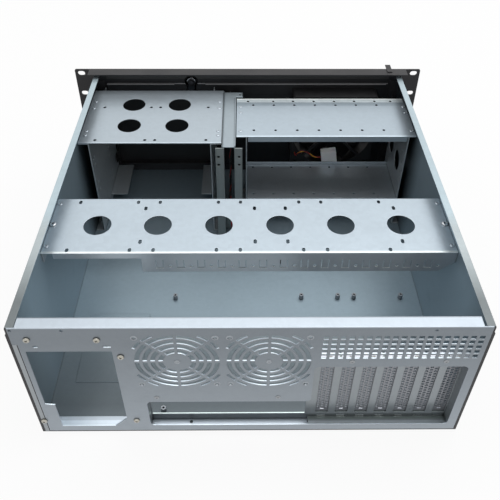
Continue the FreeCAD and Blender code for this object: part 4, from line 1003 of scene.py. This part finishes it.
def twisted_wires(name, points, wires, spread_r, wire_r, lay):
    """Mesh of round wires laid round one line, one turn in each lay; wires lists materials."""
    shape = bmesh.new()
    sides = 10
    for w in range(len(wires)):
        strand = []
        for (point, u, v), s in zip(carried_frames(points), travelled(points)):
            turn = math.tau * (w / len(wires) + s / lay)
            strand.append(point + (u * math.cos(turn) + v * math.sin(turn)) * spread_r)
        rings = []
        for point, u, v in carried_frames(strand):
            rings.append([shape.verts.new(point + (u * math.cos(math.tau * k / sides)
                                                   + v * math.sin(math.tau * k / sides)) * wire_r)
                          for k in range(sides)])
        faces = []
        for low, high in zip(rings, rings[1:]):
            for k in range(sides):
                after = (k + 1) % sides
                faces.append(shape.faces.new((low[k], low[after], high[after], high[k])))
        faces += [shape.faces.new(rings[0][::-1]), shape.faces.new(rings[-1])]
        for face in faces:
            face.material_index = w
            face.smooth = True
    mesh = closed_mesh(name, shape)
    for material in wires:
        mesh.materials.append(material)
    return new_piece(name, mesh)


red_wire = insulated("red_wire", (0.62, 0.035, 0.03))
yellow_wire = insulated("yellow_wire", (0.80, 0.62, 0.05))
black_wire = insulated("black_wire", (0.02, 0.02, 0.022))
FAN_ROUTE = ((-70.0, 415.0, 52.0), (-70.0, 406.0, 52.0), (-73.0, 401.0, 61.0), (-81.0, 398.0, 68.0),
             (-90.0, 396.5, 63.0), (-98.0, 395.6, 57.0), (-107.12, 395.6, 58.37))
fan_line = centre_line(route_curve("fan_route", FAN_ROUTE))
fan_lead = twisted_wires("fan_wires", fan_line, (red_wire, yellow_wire, red_wire, black_wire), 0.00055,
                         0.00045, 0.022)
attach(fan_lead, "case")
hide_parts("fan_lead")

dress(moulded("white_nylon", (0.93, 0.94, 0.95), 0.38, 1200.0, 0.06, through=0.15), "fan_plug")


# ------------------------------------------------------------------ front panel lead
# Lead of the buttons and lights: four insulated wires, twisted, from the board through the hole in
# the centre post down to the floor, with a flat black connector on its end.  266 mm long.
PANEL_ROUTE = ((25.0, 427.9, 112.0), (25.0, 412.0, 112.0), (25.0, 396.0, 98.0), (25.0, 380.0, 74.0),
               (24.8, 358.0, 56.0), (24.5, 332.0, 50.0), (24.3, 307.0, 57.0), (24.2, 284.0, 55.0),
               (21.5, 269.0, 39.0), (14.5, 258.0, 22.0), (4.0, 251.0, 7.0), (-9.5, 246.0, 3.0),
               (-21.0, 243.0, 4.2), (-31.0, 243.0, 4.2))
panel_line = centre_line(route_curve("panel_route", PANEL_ROUTE))
dull_red_wire = insulated("dull_red_wire", (0.26, 0.02, 0.02))
panel_lead = twisted_wires("panel_wires", panel_line, (dull_red_wire, black_wire, black_wire, black_wire),
                           0.00088, 0.00072, 0.03)
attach(panel_lead, "case")
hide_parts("panel_lead")
dress(moulded("connector_black", (0.022, 0.022, 0.024), 0.4), "panel_plug")

for part in (small_screw, big_screw, domed_rivet, flush_rivet, hole_rim, punch_mark):
    bpy.data.objects.remove(part)


# ------------------------------------------------------------------ floor, lights and camera
# Plain white floor that keeps the case's shadow, one large soft light overhead, and an even world.
def looked_at(tree):
    """Mask of the rays that show a surface instead of lighting one."""
    seen = node(tree, "ShaderNodeLightPath").outputs
    return either(tree, seen["Is Camera Ray"],
                  either(tree, seen["Is Glossy Ray"], seen["Is Transmission Ray"]))


def white_floor():
    material = bpy.data.materials.new("white_floor")
    material.use_nodes = True
    tree = material.node_tree
    tree.nodes.clear()
    board = node(tree, "ShaderNodeBsdfDiffuse", {"Color": (0.80, 0.80, 0.80, 1.0)}).outputs[0]
    glow = node(tree, "ShaderNodeEmission", {"Color": (1.0, 1.0, 1.0, 1.0), "Strength": 1.0}).outputs[0]
    pale = node(tree, "ShaderNodeMixShader", {0: 0.92, 1: board, 2: glow}).outputs[0]
    mixed_in = node(tree, "ShaderNodeMixShader", {0: looked_at(tree), 1: board, 2: pale})
    node(tree, "ShaderNodeOutputMaterial", {0: mixed_in.outputs[0]})
    return material


FLOOR_REACH = 6.0
ends = [(FLOOR_REACH * i, FLOOR_REACH * j, 0) for i, j in ((-1, -1), (1, -1), (1, 1), (-1, 1))]
floor = new_piece("floor", mesh_of("floor", ends, [(0, 1, 2, 3)]))
floor.data.materials.append(white_floor())

world = bpy.data.worlds.new("even_world")
bpy.context.scene.world = world
world.use_nodes = True
world.node_tree.nodes.clear()
strength = spread(world.node_tree, looked_at(world.node_tree), 0.0, 1.0, 0.6, 1.0)
sky = node(world.node_tree, "ShaderNodeBackground", {"Color": (1.0, 1.0, 1.0, 1.0), "Strength": strength})
node(world.node_tree, "ShaderNodeOutputWorld", {0: sky.outputs[0]})

lamp = bpy.data.lights.new("overhead", "AREA")
lamp.shape = "RECTANGLE"
lamp.size = 2.4
lamp.size_y = 1.6
lamp.energy = 30.0
overhead = new_piece("overhead", lamp)
overhead.location = (-0.35, -0.5, 2.0)
overhead.rotation_euler = (math.radians(-14), math.radians(-10), 0)

CAMERA_PLACE = (0.00631, 0.575, 0.61235)
LOOK_ROUND = 180 - 0.725    # from behind
LOOK_DOWN = 40.312
ROLL = 0.384
camera = bpy.data.cameras.new("camera")
camera.lens = 45.2
camera.sensor_width = 36.0
camera.shift_x = 0.0007
camera.shift_y = -0.1142
viewer = new_piece("camera", camera)
viewer.matrix_world = (Matrix.Translation(CAMERA_PLACE) @ Matrix.Rotation(math.radians(LOOK_ROUND), 4, "Z")
                       @ Matrix.Rotation(math.radians(90 - LOOK_DOWN), 4, "X")
                       @ Matrix.Rotation(math.radians(ROLL), 4, "Z"))
bpy.context.scene.camera = viewer
bpy.context.scene.view_settings.view_transform = "Standard"
